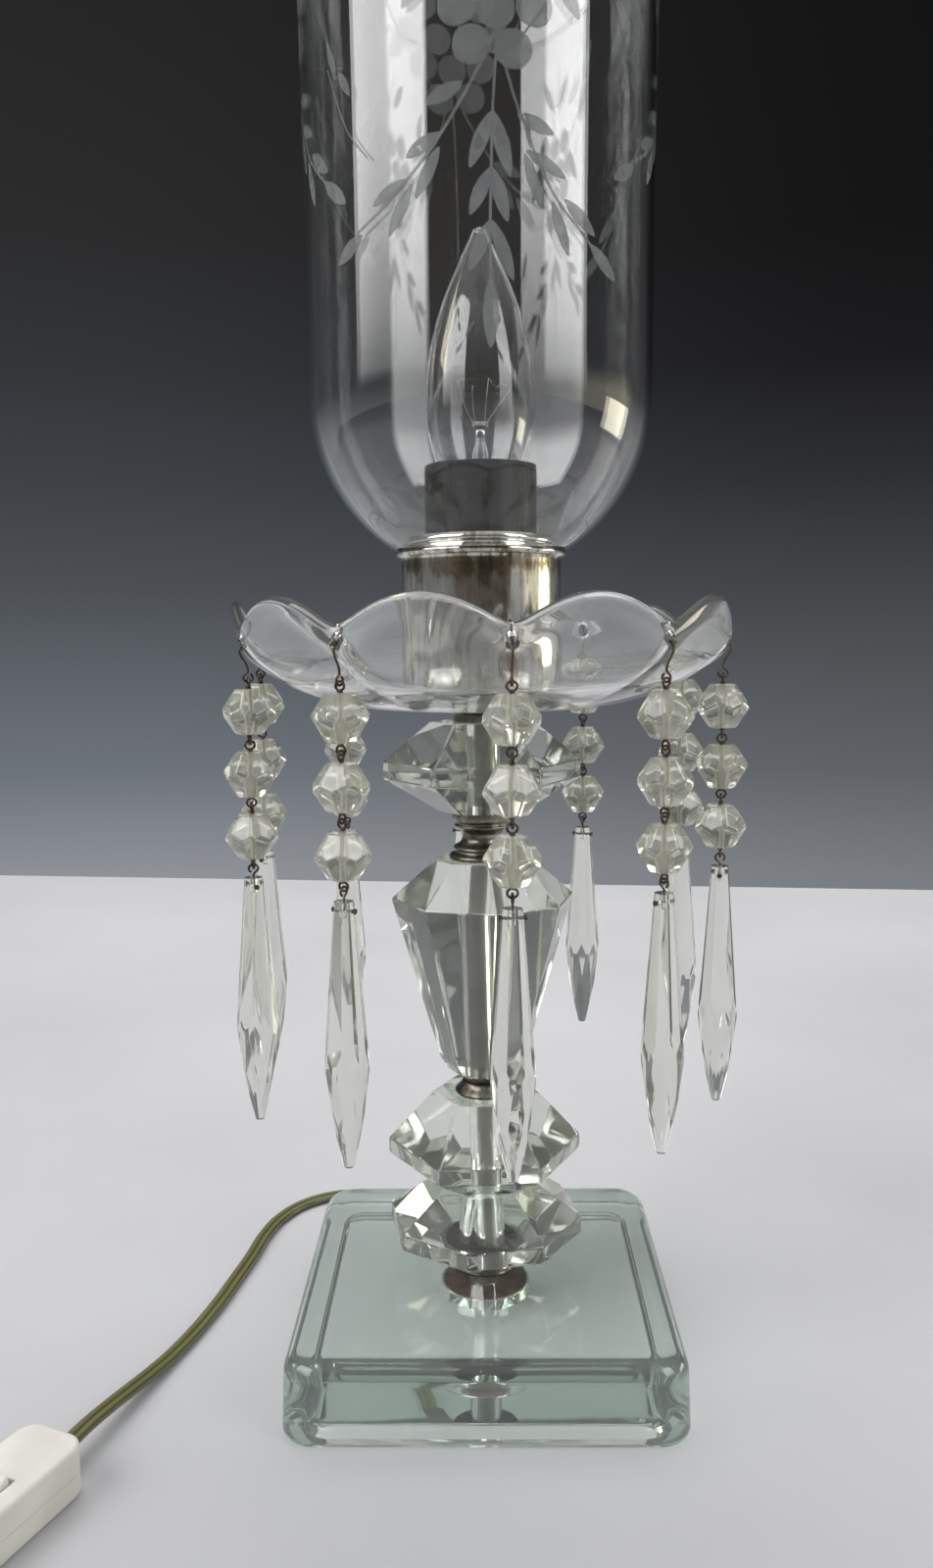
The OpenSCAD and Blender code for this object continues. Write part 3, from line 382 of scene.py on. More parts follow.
# --- Table and light
# A plain pale table top whose back edge shows behind the lamp, a dark backdrop that fades to grey
# towards the table, pale walls beside it and a pale ceiling, two tall soft windows left and right of
# the camera and a small warm one at the right. The top lies a hair under the feet of the glass base.
air_gap = 0.2
edge_left, edge_right = Vector((-3000, 1112.6, -air_gap)), Vector((3000, 486.2, -air_gap))
bm = bmesh.new()
bm.faces.new([bm.verts.new(p) for p in ((-3000, -3000, -air_gap), (3000, -3000, -air_gap), edge_right, edge_left)])
grown = bmesh.ops.extrude_face_region(bm, geom=bm.faces[:])["geom"]
bmesh.ops.translate(bm, vec=(0, 0, -30), verts=[v for v in grown if isinstance(v, bmesh.types.BMVert)])
bmesh.ops.scale(bm, vec=(0.001, 0.001, 0.001), verts=bm.verts)
bmesh.ops.recalc_face_normals(bm, faces=bm.faces)
table_mesh = bpy.data.meshes.new("table_top")
bm.to_mesh(table_mesh)
bm.free()
table = bpy.data.objects.new("table_top", table_mesh)
bpy.context.scene.collection.objects.link(table)

laminate, tree = new_material("matt laminate, pale grey")
place = add(tree, "TexCoord")
cloud = add(tree, "TexNoise", {"Scale": 4, "Detail": 5}, {"Vector": place.outputs["Object"]})
tone = add(tree, "ValToRGB", {}, {"Fac": cloud}, stops=[(0.3, "#b3b3b6"), (0.7, "#bdbdc0")])
add(tree, "OutputMaterial", {}, {"Surface": add(
    tree, "BsdfPrincipled", {"Roughness": 0.55, "Specular IOR Level": 0.3}, {"Base Color": tone})})
table_mesh.materials.append(laminate)

world = bpy.data.worlds.new("studio")
bpy.context.scene.world = world
world.use_nodes = True
tree = world.node_tree
tree.nodes.clear()
ray = add(tree, "TexCoord")
part = add(tree, "SeparateXYZ", {}, {"Vector": ray.outputs["Generated"]})
height = add(tree, "MapRange", {"From Min": -0.5, "From Max": 0.5}, {"Value": part.outputs["Z"]})
left = add(tree, "ValToRGB", {}, {"Fac": height}, stops=[
    (0.315, "#90949a"), (0.40, "#6e747b"), (0.545, "#4c5055"), (0.625, "#3e4247"), (0.71, "#333538"),
    (0.80, "#2c2c2d"), (0.93, "#272727")])
right = add(tree, "ValToRGB", {}, {"Fac": height}, stops=[
    (0.315, "#7a7d81"), (0.40, "#5f6266"), (0.545, "#424447"), (0.625, "#2e2f32"), (0.71, "#1c1c1e"),
    (0.80, "#151516"), (0.93, "#141414")])
sideways = add(tree, "MapRange", {"From Min": -0.35, "From Max": 0.35}, {"Value": part.outputs["X"]},
               interpolation_type='SMOOTHSTEP')
shade_of = add(tree, "Mix", data_type='RGBA')
tree.links.new(sideways.outputs[0], shade_of.inputs[0])
tree.links.new(left.outputs[0], shade_of.inputs[6])
tree.links.new(right.outputs[0], shade_of.inputs[7])
behind = add(tree, "MapRange", {"From Min": -0.3, "From Max": -0.7}, {"Value": part.outputs["Y"]},
             interpolation_type='SMOOTHSTEP')
dark = add(tree, "Mix", {7: colour("#5a564f")}, {0: behind}, data_type='RGBA')
tree.links.new(shade_of.outputs[2], dark.inputs[6])
beside = add(tree, "MapRange", {"From Min": 0.45, "From Max": 0.85}, {"Value": add(
    tree, "Math", {}, {0: part.outputs["X"]}, operation='ABSOLUTE')}, interpolation_type='SMOOTHSTEP')
wall = add(tree, "ValToRGB", {}, {"Fac": height}, stops=[(0.40, "#b9bbba"), (0.62, "#4a4b4c")])
sunlit = add(tree, "ValToRGB", {}, {"Fac": height}, stops=[
    (0.3, "#b9bbba"), (0.42, "#ebe6cf"), (0.58, "#ebe6cf"), (0.7, "#4a4b4c")])
far_right = add(tree, "MapRange", {"From Min": 0.86, "From Max": 0.94}, {"Value": part.outputs["X"]},
                interpolation_type='SMOOTHSTEP')
side = add(tree, "Mix", {}, {0: far_right}, data_type='RGBA')
tree.links.new(wall.outputs[0], side.inputs[6])
tree.links.new(sunlit.outputs[0], side.inputs[7])
walls = add(tree, "Mix", {}, {0: beside}, data_type='RGBA')
tree.links.new(dark.outputs[2], walls.inputs[6])
tree.links.new(side.outputs[2], walls.inputs[7])
above = add(tree, "MapRange", {"From Min": 0.5, "From Max": 0.85}, {"Value": part.outputs["Z"]},
            interpolation_type='SMOOTHSTEP')
room = add(tree, "Mix", {7: colour("#c4c5c3")}, {0: above}, data_type='RGBA')
tree.links.new(walls.outputs[2], room.inputs[6])
backdrop = add(tree, "Background", {"Strength": 1.0}, {"Color": room.outputs[2]})
soft = add(tree, "Background", {"Color": colour("#f2f3f5"), "Strength": 0.26})
path = add(tree, "LightPath")
seen = add(tree, "Math", {}, {0: path.outputs["Is Camera Ray"], 1: path.outputs["Is Glossy Ray"]},
           operation='MAXIMUM')
seen = add(tree, "Math", {}, {0: seen, 1: path.outputs["Is Transmission Ray"]}, operation='MAXIMUM')
add(tree, "OutputWorld", {}, {"Surface": add(tree, "MixShader", {}, {0: seen, 1: soft, 2: backdrop})})

# Each light: bearing from the camera's side, distance, centre height, width, height, the share of the
# height over which its lower end fades out, glow and colour
for name, azimuth, away, level, wide, tall, fade, glow, code in (
        ("window_left", -61, 1.5, 1.25, 1.5, 1.65, 0.4, 5.8, "#ffffff"),
        ("window_right", 57, 1.5, 1.12, 0.8, 1.75, 0.4, 4.6, "#ffffff"),
        ("side_right", 102, 1.2, 0.2, 0.5, 0.28, 0.1, 6.0, "#f5efd6")):
    light = bpy.data.lights.new(name, 'AREA')
    light.shape, light.size, light.size_y = 'RECTANGLE', wide, tall
    light.energy, light.color = math.pi * wide * tall * glow, colour(code)[:3]
    window = bpy.data.objects.new(name, light)
    bpy.context.scene.collection.objects.link(window)
    a = math.radians(azimuth)
    spot = Vector((away * math.sin(a), -away * math.cos(a), level))
    window.location = spot
    window.rotation_euler = (Vector((0, 0.5, level)) - spot).to_track_quat('-Z', 'Y').to_euler()
    light.use_nodes = True
    tree = light.node_tree
    tree.nodes.clear()
    up = add(tree, "SeparateXYZ", {}, {"Vector": add(tree, "NewGeometry").outputs["Parametric"]})
    full = add(tree, "MapRange", {"From Max": fade}, {"Value": up.outputs["Y"]}, interpolation_type='SMOOTHSTEP')
    add(tree, "OutputLight", {}, {"Surface": add(tree, "Emission", {}, {"Strength": full})})
    window.visible_camera = False

# A lamp over the back of the table makes its far edge the brightest part
overhead = bpy.data.lights.new("overhead", 'AREA')
overhead.shape, overhead.size, overhead.size_y, overhead.energy = 'RECTANGLE', 1.8, 0.8, 20
lamp_above = bpy.data.objects.new("overhead", overhead)
bpy.context.scene.collection.objects.link(lamp_above)
lamp_above.location = (0, 0.7, 1.4)
lamp_above.visible_camera = lamp_above.visible_glossy = lamp_above.visible_transmission = False
bpy.context.scene.view_settings.view_transform = 'Standard'


# --- Base
# A heavy square block of pressed glass, greenish where one looks into its depth, with rounded edges.
# A round recess underneath takes the washer and nut, and a groove lets the cord out at the back.
def glass(name, keep, density, roughness=0.0, wave=0.0, haze=0.0, clear="#ffffff", shadow="#b9bcba"):
    """Glass whose depth keeps one colour and whose surface passes another. Wave swells the surface, and
    haze is the share of the light that its wear scatters. Shadow rays go straight through."""
    made, tree = new_material(name)
    place = add(tree, "TexCoord")
    smear = add(tree, "TexNoise", {"Scale": 35, "Detail": 4}, {"Vector": place.outputs["Object"]})
    film = add(tree, "MapRange", {"From Min": 0.45, "From Max": 0.75, "To Min": roughness,
                                  "To Max": roughness + 0.05}, {"Value": smear})
    body = add(tree, "BsdfPrincipled", {"Base Color": colour(clear), "Transmission Weight": 1 - haze,
                                        "IOR": 1.5}, {"Roughness": film})
    if wave:
        swell = add(tree, "TexNoise", {"Scale": 30, "Detail": 1}, {"Vector": place.outputs["Object"]})
        relief = add(tree, "Bump", {"Strength": wave, "Distance": 0.001}, {"Height": swell})
        tree.links.new(relief.outputs[0], body.inputs["Normal"])
    straight = add(tree, "BsdfTransparent", {"Color": colour(shadow)})
    ray = add(tree, "LightPath")
    add(tree, "OutputMaterial", {}, {
        "Surface": add(tree, "MixShader", {}, {0: ray.outputs["Is Shadow Ray"], 1: body, 2: straight}),
        "Volume": add(tree, "VolumeAbsorption", {"Color": keep, "Density": density})})
    return made


# Pressed soda-lime glass: iron gives it a green depth, and the mould a faint swell
pressed_glass = glass("pressed soda-lime glass, greenish", (0.0, 0.26, 0.12, 1), 6.9, 0.02, 0.2, 0.05, "#f8f9f8",
                      "#f2f4f2")


def rounded_plan(bm, half_x, half_y, corner, steps):
    """A flat rectangle with rounded corners, centred on the origin."""
    corners = [(half_x, half_y), (-half_x, half_y), (-half_x, -half_y), (half_x, -half_y)]
    plan = bm.faces.new([bm.verts.new((x, y, 0)) for x, y in corners])
    bmesh.ops.bevel(bm, geom=list(plan.verts), offset=corner, offset_type='OFFSET', affect='VERTICES',
                    segments=steps, profile=0.5, material=-1)
    return list(bm.faces)[0]


bm = bmesh.new()
plan = rounded_plan(bm, 63.2, 63.2, 11.5, 14)
grown = bmesh.ops.extrude_face_region(bm, geom=[plan])["geom"]
top = [v for v in grown if isinstance(v, bmesh.types.BMVert)]
bmesh.ops.translate(bm, vec=(0, 0, 26), verts=top)
bmesh.ops.scale(bm, vec=(62.2 / 63.2, 62.2 / 63.2, 1), verts=top)
bmesh.ops.recalc_face_normals(bm, faces=bm.faces)
soften(bm, 6.5, 12, 60, where=lambda p: p.z > 25)
soften(bm, 2, 8, 60, where=lambda p: p.z < 0.01)
bore, recess, groove, hollow = bmesh.new(), bmesh.new(), bmesh.new(), bmesh.new()
bmesh.ops.create_cone(bore, cap_ends=True, segments=64, radius1=5.3, radius2=5.3, depth=60)
bmesh.ops.create_cone(recess, cap_ends=True, segments=96, radius1=17.2, radius2=15.3, depth=24)
soften(recess, 0.5, 4, 60, where=lambda p: p.z > 0)
bmesh.ops.create_cube(groove, size=1, matrix=(
    Matrix.Rotation(math.radians(107.2), 4, 'Z') @ Matrix.Translation((45, 0, 1))
    @ Matrix.Diagonal((90, 7.5, 6, 1))))

# The shallow hollow of the underside, whose edge shows as pale lines through the top and the sides
plan = rounded_plan(hollow, 55, 55, 7.5, 10)
grown = bmesh.ops.extrude_face_region(hollow, geom=[plan])["geom"]
inner = [v for v in grown if isinstance(v, bmesh.types.BMVert)]
bmesh.ops.scale(hollow, vec=(54 / 55, 54 / 55, 1), verts=inner)
bmesh.ops.translate(hollow, vec=(0, 0, 4.7), verts=inner)
bmesh.ops.translate(hollow, vec=(0, 0, -0.5), verts=hollow.verts)
bmesh.ops.recalc_face_normals(hollow, faces=hollow.faces)
soften(hollow, 2, 6, 40, where=lambda p: p.z > 1)
bm = cut_out(bm, [hollow, bore, recess, groove])
base = finished("glass_base", bm, [pressed_glass], "lamp", ["base_block"], 30)


# --- Washer, nuts and pipe
# One threaded steel pipe clamps the whole stem. Its nuts are brass, and the steel washer under the
# base has rusted. All show faintly through the glass.
rusty_steel, tree = new_material("rusted mild steel")
place = add(tree, "TexCoord")
rust = add(tree, "TexNoise", {"Scale": 180, "Detail": 6}, {"Vector": place.outputs["Object"]})
tone = add(tree, "ValToRGB", {}, {"Fac": rust}, stops=[(0.35, "#4a3325"), (0.6, "#7a5a42"), (0.8, "#8c8379")])
relief = add(tree, "Bump", {"Strength": 0.5, "Distance": 0.0003}, {"Height": rust})
add(tree, "OutputMaterial", {}, {"Surface": add(
    tree, "BsdfPrincipled", {"Roughness": 0.7, "Metallic": 0.4}, {"Base Color": tone, "Normal": relief})})
bm = copied("base_washer")
soften(bm, 0.3, 2, 60)
finished("rusty_washer", bm, [rusty_steel], "lamp", ["base_washer"], 40)
bm = copied("pipe_nuts")
soften(bm, 0.6, 3, 40, where=lambda p: p.xy.length > 7)
finished("brass_nuts", bm, [plain_brass], "lamp", ["pipe_nuts"], 40)

# Zinc-plated pipe with a rolled thread of 27 turns an inch, 0.94 mm apart
pipe_steel, tree = new_material("zinc-plated pipe, threaded")
place = add(tree, "TexCoord")
thread = add(tree, "TexWave", {"Scale": 53.2}, {"Vector": place.outputs["Object"]}, bands_direction='Z')
dirt = add(tree, "TexNoise", {"Scale": 60, "Detail": 4}, {"Vector": place.outputs["Object"]})
tone = add(tree, "ValToRGB", {}, {"Fac": dirt}, stops=[(0.3, "#514e48"), (0.7, "#8b8982")])
relief = add(tree, "Bump", {"Strength": 0.35, "Distance": 0.0003}, {"Height": thread})
add(tree, "OutputMaterial", {}, {"Surface": add(
    tree, "BsdfPrincipled", {"Metallic": 1, "Roughness": 0.35}, {"Base Color": tone, "Normal": relief})})
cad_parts["stem_pipe"].data.materials.clear()
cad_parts["stem_pipe"].data.materials.append(pipe_steel)
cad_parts["inner_cord"].data.materials.clear()
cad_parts["inner_cord"].data.materials.append(moulded_gold)


# --- Crystals of the stem
# Four crystals cut with flat facets and polished, threaded on the pipe. The edges between the facets
# are slightly worn round. The glass is clear with a faint grey-green depth.
crystal = glass("polished cut crystal", (0.5, 0.66, 0.42, 1), 3.2, 0.04, 0.02, 0.06, "#f3f4f0")
for node in ("lower_crystal", "middle_crystal", "vase_crystal", "upper_crystal"):
    bm = copied(node)
    soften(bm, 0.45, 2, 8, where=lambda p: p.xy.length > 7)
    finished(node.replace("crystal", "cut_crystal"), bm, [crystal], "lamp", [node], 0)


# --- Rings and spacers of the stem
# Turned metal rings between the crystals, nickel plate worn through to brass in places, dull and
# stained in random patches.
def turned(bm, line, steps=96, weights=None):
    """Spins a closed line of (radius, height) points round the lamp's axis."""
    layer = bm.verts.layers.float.new("notch") if weights else None
    verts = [bm.verts.new((r, 0, z)) for r, z in line]
    for vert, weight in zip(verts, weights or ()):
        vert[layer] = weight
    edges = [bm.edges.new(pair) for pair in zip(verts, verts[1:] + verts[:1])]
    bmesh.ops.spin(bm, geom=verts + edges, cent=(0, 0, 0), axis=(0, 0, 1), angle=math.tau, steps=steps,
                   use_merge=True)
    bmesh.ops.remove_doubles(bm, verts=bm.verts, dist=0.0005)
    bmesh.ops.recalc_face_normals(bm, faces=bm.faces)


aged_nickel, tree = new_material("worn nickel plate on brass")
place = add(tree, "TexCoord")
stain = add(tree, "TexNoise", {"Scale": 140, "Detail": 6, "Roughness": 0.7}, {"Vector": place.outputs["Object"]})
tone = add(tree, "ValToRGB", {}, {"Fac": stain}, stops=[(0.32, "#3f3b33"), (0.5, "#7b776d"), (0.72, "#b0ada4")])
shine = add(tree, "MapRange", {"To Min": 0.45, "To Max": 0.15}, {"Value": stain})
relief = add(tree, "Bump", {"Strength": 0.2, "Distance": 0.0002}, {"Height": stain})
add(tree, "OutputMaterial", {}, {"Surface": add(
    tree, "BsdfPrincipled", {"Metallic": 1}, {"Base Color": tone, "Roughness": shine, "Normal": relief})})

for name, node, z, top, line in (
    ("foot_collar", "foot_ring", 26, 2.5, [(10.6, 0), (11, 0.7), (10.4, 1.5), (9.6, 2.5)]),
    ("lower_collar", "lower_spacer", 88.5, 6.5, [
        (9.7, 0), (9.9, 0.6), (9.4, 1.3), (8.2, 2.6), (7.2, 3.9), (6.4, 4.4), (7, 4.9), (7.3, 5.5), (7, 6.5)]),
    ("upper_collar", "upper_spacer", 169.5, 16, [
        (11, 0), (11.3, 0.8), (10.8, 1.6), (9.4, 2.2), (9.2, 3), (9.8, 3.6), (9.4, 4.3), (7.9, 5.2), (7, 6.4),
        (6.8, 7.6), (7.1, 8.8), (8.2, 10), (9.2, 10.6), (9.4, 11.3), (8.9, 11.9), (9.2, 12.5), (10, 13),
        (10.3, 13.8), (10.3, 16)]),
    ("seat_collar", "seat_ring", 215.3, 4.2, [(9.4, 0), (9.6, 2.4), (10.8, 3), (11.2, 4.2)])):
    outline = [(p.x, z + p.y) for p in through(line, 4)]
    bm = bmesh.new()
    turned(bm, [(5.3, z)] + outline + [(5.3, z + top)], 96)
    finished(name, bm, [aged_nickel], "lamp", [node], 40)


# --- Dish
# A pressed-glass dish with ten scallops. The rim dips between the scallops, where a small drilled
# hole takes the hook of each string.
dish_rows = [
    (5.3, 0, 0), (14, 0, 0), (24, 0, 0), (38, 0.9, 0.05), (50, 3.2, 0.12), (61, 7.3, 0.22), (70, 13.2, 0.42),
    (76.3, 20.1, 0.7), (79.8, 27, 0.92), (81, 33, 1), (80.6, 34.9, 1), (79.7, 35.6, 1), (78.8, 34.8, 1),
    (77.4, 30.6, 0.97), (73.6, 22.4, 0.7), (67.3, 15.5, 0.42), (59.1, 10.3, 0.22), (48.8, 6.7, 0.12),
    (37.4, 4.4, 0.05), (26.8, 3.5, 0), (14, 3.5, 0), (5.3, 3.5, 0)]
fine_rows = through(dish_rows, 3)
bm = bmesh.new()
turned(bm, [(p.x, p.y) for p in fine_rows], 240, [p.z for p in fine_rows])
notch = bm.verts.layers.float["notch"]
first_string = math.radians(-84.1)
round_bottom = 0.35
for v in bm.verts:
    around = math.atan2(v.co.y, v.co.x)
    swell = math.hypot(math.sin(5 * (around - first_string)), round_bottom) - round_bottom
    dip = v[notch] * (1 - (swell / (math.hypot(1, round_bottom) - round_bottom)) ** 0.75)
    v.co -= Vector((math.cos(around), math.sin(around), 0)) * 0.4 * dip
    v.co.z += 219.5 - 8.8 * v[notch] * dip
string_places = [Matrix.Rotation(first_string + math.radians(36 * k), 4, 'Z') @ Matrix.Translation((78, 0, 242.2))
                 for k in range(10)]
drills = []
for place in string_places:
    drills.append(bmesh.new())
    bmesh.ops.create_cone(drills[-1], cap_ends=True, segments=20, radius1=1.9, radius2=1.9, depth=9,
                          matrix=place @ Matrix.Rotation(math.radians(-60), 4, 'Y'))
bm = cut_out(bm, drills)
dish_glass = glass("pressed clear glass", (0.3, 0.7, 0.3, 1), 3.0, 0.0, 0.06, 0.03)
finished("scalloped_dish", bm, [dish_glass], "lamp", ["bobeche"], 35)


# --- Shade holder
# A drawn cup with a rolled flange and a small ring on top, chrome that has worn and tarnished brown
# with fine vertical streaks. A darker, browner band just under the flange is painted shade.
worn_chrome, tree = new_material("chrome plate, tarnished, shade painted under flange")
place = add(tree, "TexCoord")
tall = add(tree, "Mapping", {"Scale": (1, 1, 0.1)}, {"Vector": place.outputs["Object"]})
streak = add(tree, "TexNoise", {"Scale": 480, "Detail": 4, "Roughness": 0.65}, {"Vector": tall})
cloud = add(tree, "TexNoise", {"Scale": 90, "Detail": 5, "Roughness": 0.6}, {"Vector": place.outputs["Object"]})
pits = add(tree, "TexNoise", {"Scale": 700, "Detail": 3}, {"Vector": place.outputs["Object"]})
# Painted shade: the tone is darker and browner in a band just under the flange
level = add(tree, "SeparateXYZ", {}, {"Vector": place.outputs["Object"]})
below = add(tree, "Math", {}, {0: add(tree, "Math", {1: 0.2655}, {0: level.outputs["Z"]}, operation='SUBTRACT')},
            operation='ABSOLUTE')
band = add(tree, "MapRange", {"From Max": 0.005, "To Min": -0.11, "To Max": 0.0}, {"Value": below})
# The tarnish noise and the painted shade band under the flange together set the tone
tarnish_and_shade = add(tree, "Math", {}, {0: streak, 1: cloud, 2: band}, operation='MULTIPLY_ADD')
tone = add(tree, "ValToRGB", {}, {"Fac": tarnish_and_shade}, stops=[
    (0.08, "#54483a"), (0.16, "#8f8676"), (0.22, "#cdcac2"), (0.34, "#e2e1dd")])
shine = add(tree, "MapRange", {"From Min": 0.06, "From Max": 0.2, "To Min": 0.4, "To Max": 0.09},
            {"Value": tarnish_and_shade})
relief = add(tree, "Bump", {"Strength": 0.08, "Distance": 0.0001}, {"Height": pits})
add(tree, "OutputMaterial", {}, {"Surface": add(
    tree, "BsdfPrincipled", {"Metallic": 1}, {"Base Color": tone, "Roughness": shine, "Normal": relief})})

flange = [(p.x, p.y) for p in through([(26, 44.6), (26.3, 45.4), (27.1, 45.8), (27.7, 46.5), (27.7, 47.3),
                                       (27.2, 47.9), (26.4, 47.9)], 4)]
cup_line = [(5.3, 0), (25.4, 0), (25.8, 0.2), (26, 0.6)] + flange + [(25.2, 47.9), (25.2, 1.2), (5.3, 1.2)]
bm = bmesh.new()
turned(bm, [(r, z + 223) for r, z in cup_line], 128)
finished("chrome_cup", bm, [worn_chrome], "lamp", ["holder_cup"], 35)

ring_line = [(p.x, p.y) for p in through([(25.3, 0), (25.5, 1.3), (25.2, 2.4), (24.3, 2.7), (24.3, 3),
                                          (24.9, 3.3), (25, 4.2), (24.4, 5.3)], 4)]
bm = bmesh.new()
turned(bm, [(r, z + 270.9) for r, z in [(18.55, 0)] + ring_line + [(18.55, 5.3)]], 128)
finished("chrome_collar", bm, [worn_chrome], "lamp", ["holder_ring"], 35)


# --- Socket
# A candelabra socket: brown phenolic body, brass screw shell and contact, on a zinc-plated bracket
# that the pipe's nuts hold, all hidden by a plain charcoal sleeve.
phenolic, tree = new_material("moulded phenolic, brown-black")
place = add(tree, "TexCoord")
cloud = add(tree, "TexNoise", {"Scale": 150, "Detail": 3}, {"Vector": place.outputs["Object"]})
tone = add(tree, "ValToRGB", {}, {"Fac": cloud}, stops=[(0.3, "#1c1613"), (0.7, "#2b221d")])
add(tree, "OutputMaterial", {}, {"Surface": add(
    tree, "BsdfPrincipled", {"Roughness": 0.35, "IOR": 1.6}, {"Base Color": tone})})
for node, material in (("socket_body", phenolic), ("socket_shell", plain_brass),
                       ("socket_contact", plain_brass), ("socket_bracket", zinc_steel)):
    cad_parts[node].data.materials.clear()
    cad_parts[node].data.materials.append(material)

# Painted fibre sleeve: satin charcoal with faint upright rubbing marks
charcoal, tree = new_material("fibre sleeve, satin charcoal")
place = add(tree, "TexCoord")
tall = add(tree, "Mapping", {"Scale": (1, 1, 0.1)}, {"Vector": place.outputs["Object"]})
rub = add(tree, "TexNoise", {"Scale": 220, "Detail": 4}, {"Vector": tall})
tone = add(tree, "ValToRGB", {}, {"Fac": rub}, stops=[(0.3, "#131211"), (0.7, "#1d1b1a")])
shine = add(tree, "MapRange", {"To Min": 0.22, "To Max": 0.34}, {"Value": rub})
add(tree, "OutputMaterial", {}, {"Surface": add(
    tree, "BsdfPrincipled", {"Specular IOR Level": 0.22}, {"Base Color": tone, "Roughness": shine})})
bm = bmesh.new()
turned(bm, [(17.3, 260.6), (18.15, 260.6), (18.15, 297.7), (18.02, 297.95), (17.8, 298), (17.55, 297.95),
            (17.3, 297.7)], 128)
finished("sleeve", bm, [charcoal], "lamp", ["socket_sleeve"], 40)


# --- Shade
# A blown hurricane chimney of thin clear glass with a rounded lower end and a slightly flared,
# fire-polished rim. Grapes and leaves are cut into its outer side with a stone wheel and left matt.
def bend(a, b, c, d, steps):
    """A cubic curve from a to d, drawn by b and c."""
    line = []
    for t in [k / steps for k in range(steps + 1)]:
        s = 1 - t
        line.append(Vector(a) * s ** 3 + Vector(b) * 3 * s * s * t + Vector(c) * 3 * s * t * t + Vector(d) * t ** 3)
    return line


outside = bend((27.8, 0), (33, 2.4), (54.8, 18), (54.8, 48), 24)
upper = bend((54.8, 60), (54.8, 130), (55.8, 190), (57.8, 229.6), 16)
rim = [Vector(p) for p in arc(56.4, 229.6, 1.4, 20, 160, 7)]
inside = bend((25.9, 0.6), (31, 4), (52, 20), (52, 48), 24)
shade_line = [Vector((26.3, 0))] + outside + upper + rim + [p - Vector((2.8, 0)) for p in reversed(upper)] \
    + list(reversed(inside))
bm = bmesh.new()
turned(bm, [(p.x, p.y + 271) for p in shade_line], 192)
blown_glass = glass("blown clear glass", (0.0, 0.7, 0.6, 1), 1.5, 0.0, 0.03)
finished("hurricane_shade", bm, [blown_glass], "shade", ["shade"], 35)

# Matt wheel cuts: the ground glass scatters light, so it looks grey-white and half clear
ground_glass, tree = new_material("ground glass, wheel-cut")
place = add(tree, "TexCoord")
grind = add(tree, "TexNoise", {"Scale": 220, "Detail": 2}, {"Vector": place.outputs["Object"]})
tone = add(tree, "ValToRGB", {}, {"Fac": grind}, stops=[(0.3, "#76787a"), (0.7, "#838585")])
add(tree, "OutputMaterial", {}, {"Surface": add(
    tree, "BsdfPrincipled", {"Roughness": 0.6, "Alpha": 0.55}, {"Base Color": tone})})


def leaf(bm, tip, stalk, width):
    """A pointed leaf between two points of the flat pattern."""
    a, b = Vector(tip), Vector(stalk)
    made = bmesh.ops.create_circle(bm, cap_ends=True, segments=14, radius=1)["verts"]
    long = (b - a).length / 2
    for v in made:
        v.co.y *= width / 2 * (1 - 0.45 * v.co.x * v.co.x)
        v.co.x *= long
    turn = Matrix.Rotation(math.atan2(b.y - a.y, b.x - a.x), 4, 'Z')
    bmesh.ops.transform(bm, matrix=Matrix.Translation(((a + b) / 2).to_3d()) @ turn, verts=made)


def stalk(bm, points, width):
    """A thin curved cut through the points of the flat pattern."""
    line = through(points, 4)
    for a, b in zip(line, line[1:]):
        side = Vector((a.y - b.y, b.x - a.x)).normalized() * width / 2
        bm.faces.new([bm.verts.new(p.to_3d()) for p in (a - side, b - side, b + side, a + side)])


leaves = [
    ((-17.6, 386.6), (-7, 391.5), 5.2), ((-23.4, 373.6), (-13, 379), 5.2), ((-20.6, 362.4), (-13.6, 375.5), 4.6),
    ((-34.2, 362.8), (-22.6, 368), 4.8), ((-28.9, 353.8), (-21.6, 366.5), 4.6), ((-48.6, 349.7), (-38.3, 356), 5.2),
    ((18.4, 379.2), (7.6, 383.4), 4.8), ((22.1, 368.2), (10, 374.4), 4.4), ((14.8, 359.5), (9.8, 373.4), 4.2),
    ((23, 347.8), (17.8, 362), 4.2), ((32, 354.6), (21.5, 362.9), 5), ((40.5, 343.8), (30.2, 352.3), 5.2),
    ((-5.4, 369.4), (0.6, 384), 5), ((5.8, 367.2), (1.2, 384), 5.2), ((-5.4, 357.2), (0.3, 369.6), 4.8),
    ((5, 355.4), (0.9, 369.6), 4.8), ((-5.6, 342.6), (0.2, 356), 4.8), ((6.6, 340), (0.7, 356), 4.8),
    ((0.2, 322), (0.3, 341), 5.4)]
stems = [
    ([(2.4, 406), (-4, 393), (-15.3, 376), (-28, 363.5), (-40, 356.5)], 0.9),
    ([(2.4, 406), (1, 385), (0.5, 369), (0.2, 355), (0.3, 341)], 0.8),
    ([(2.4, 406), (4.6, 395), (9.6, 381), (18, 364), (30.5, 352)], 0.8),
    ([(-5, 402), (-22, 424), (-30, 444)], 0.7), ([(8, 402), (24, 424), (33, 446)], 0.7),
    ([(2, 428), (3, 446), (-4, 462)], 0.8), ([(-52, 404), (-44, 386), (-36, 376)], 0.5)]
grapes = [(-4.8, 401), (6.7, 400), (1.9, 410), (-8.6, 411), (12.4, 411), (-3.4, 420), (7.4, 420), (-13.6, 421),
          (17.4, 421), (2, 430), (-8.6, 431), (12.6, 431)]
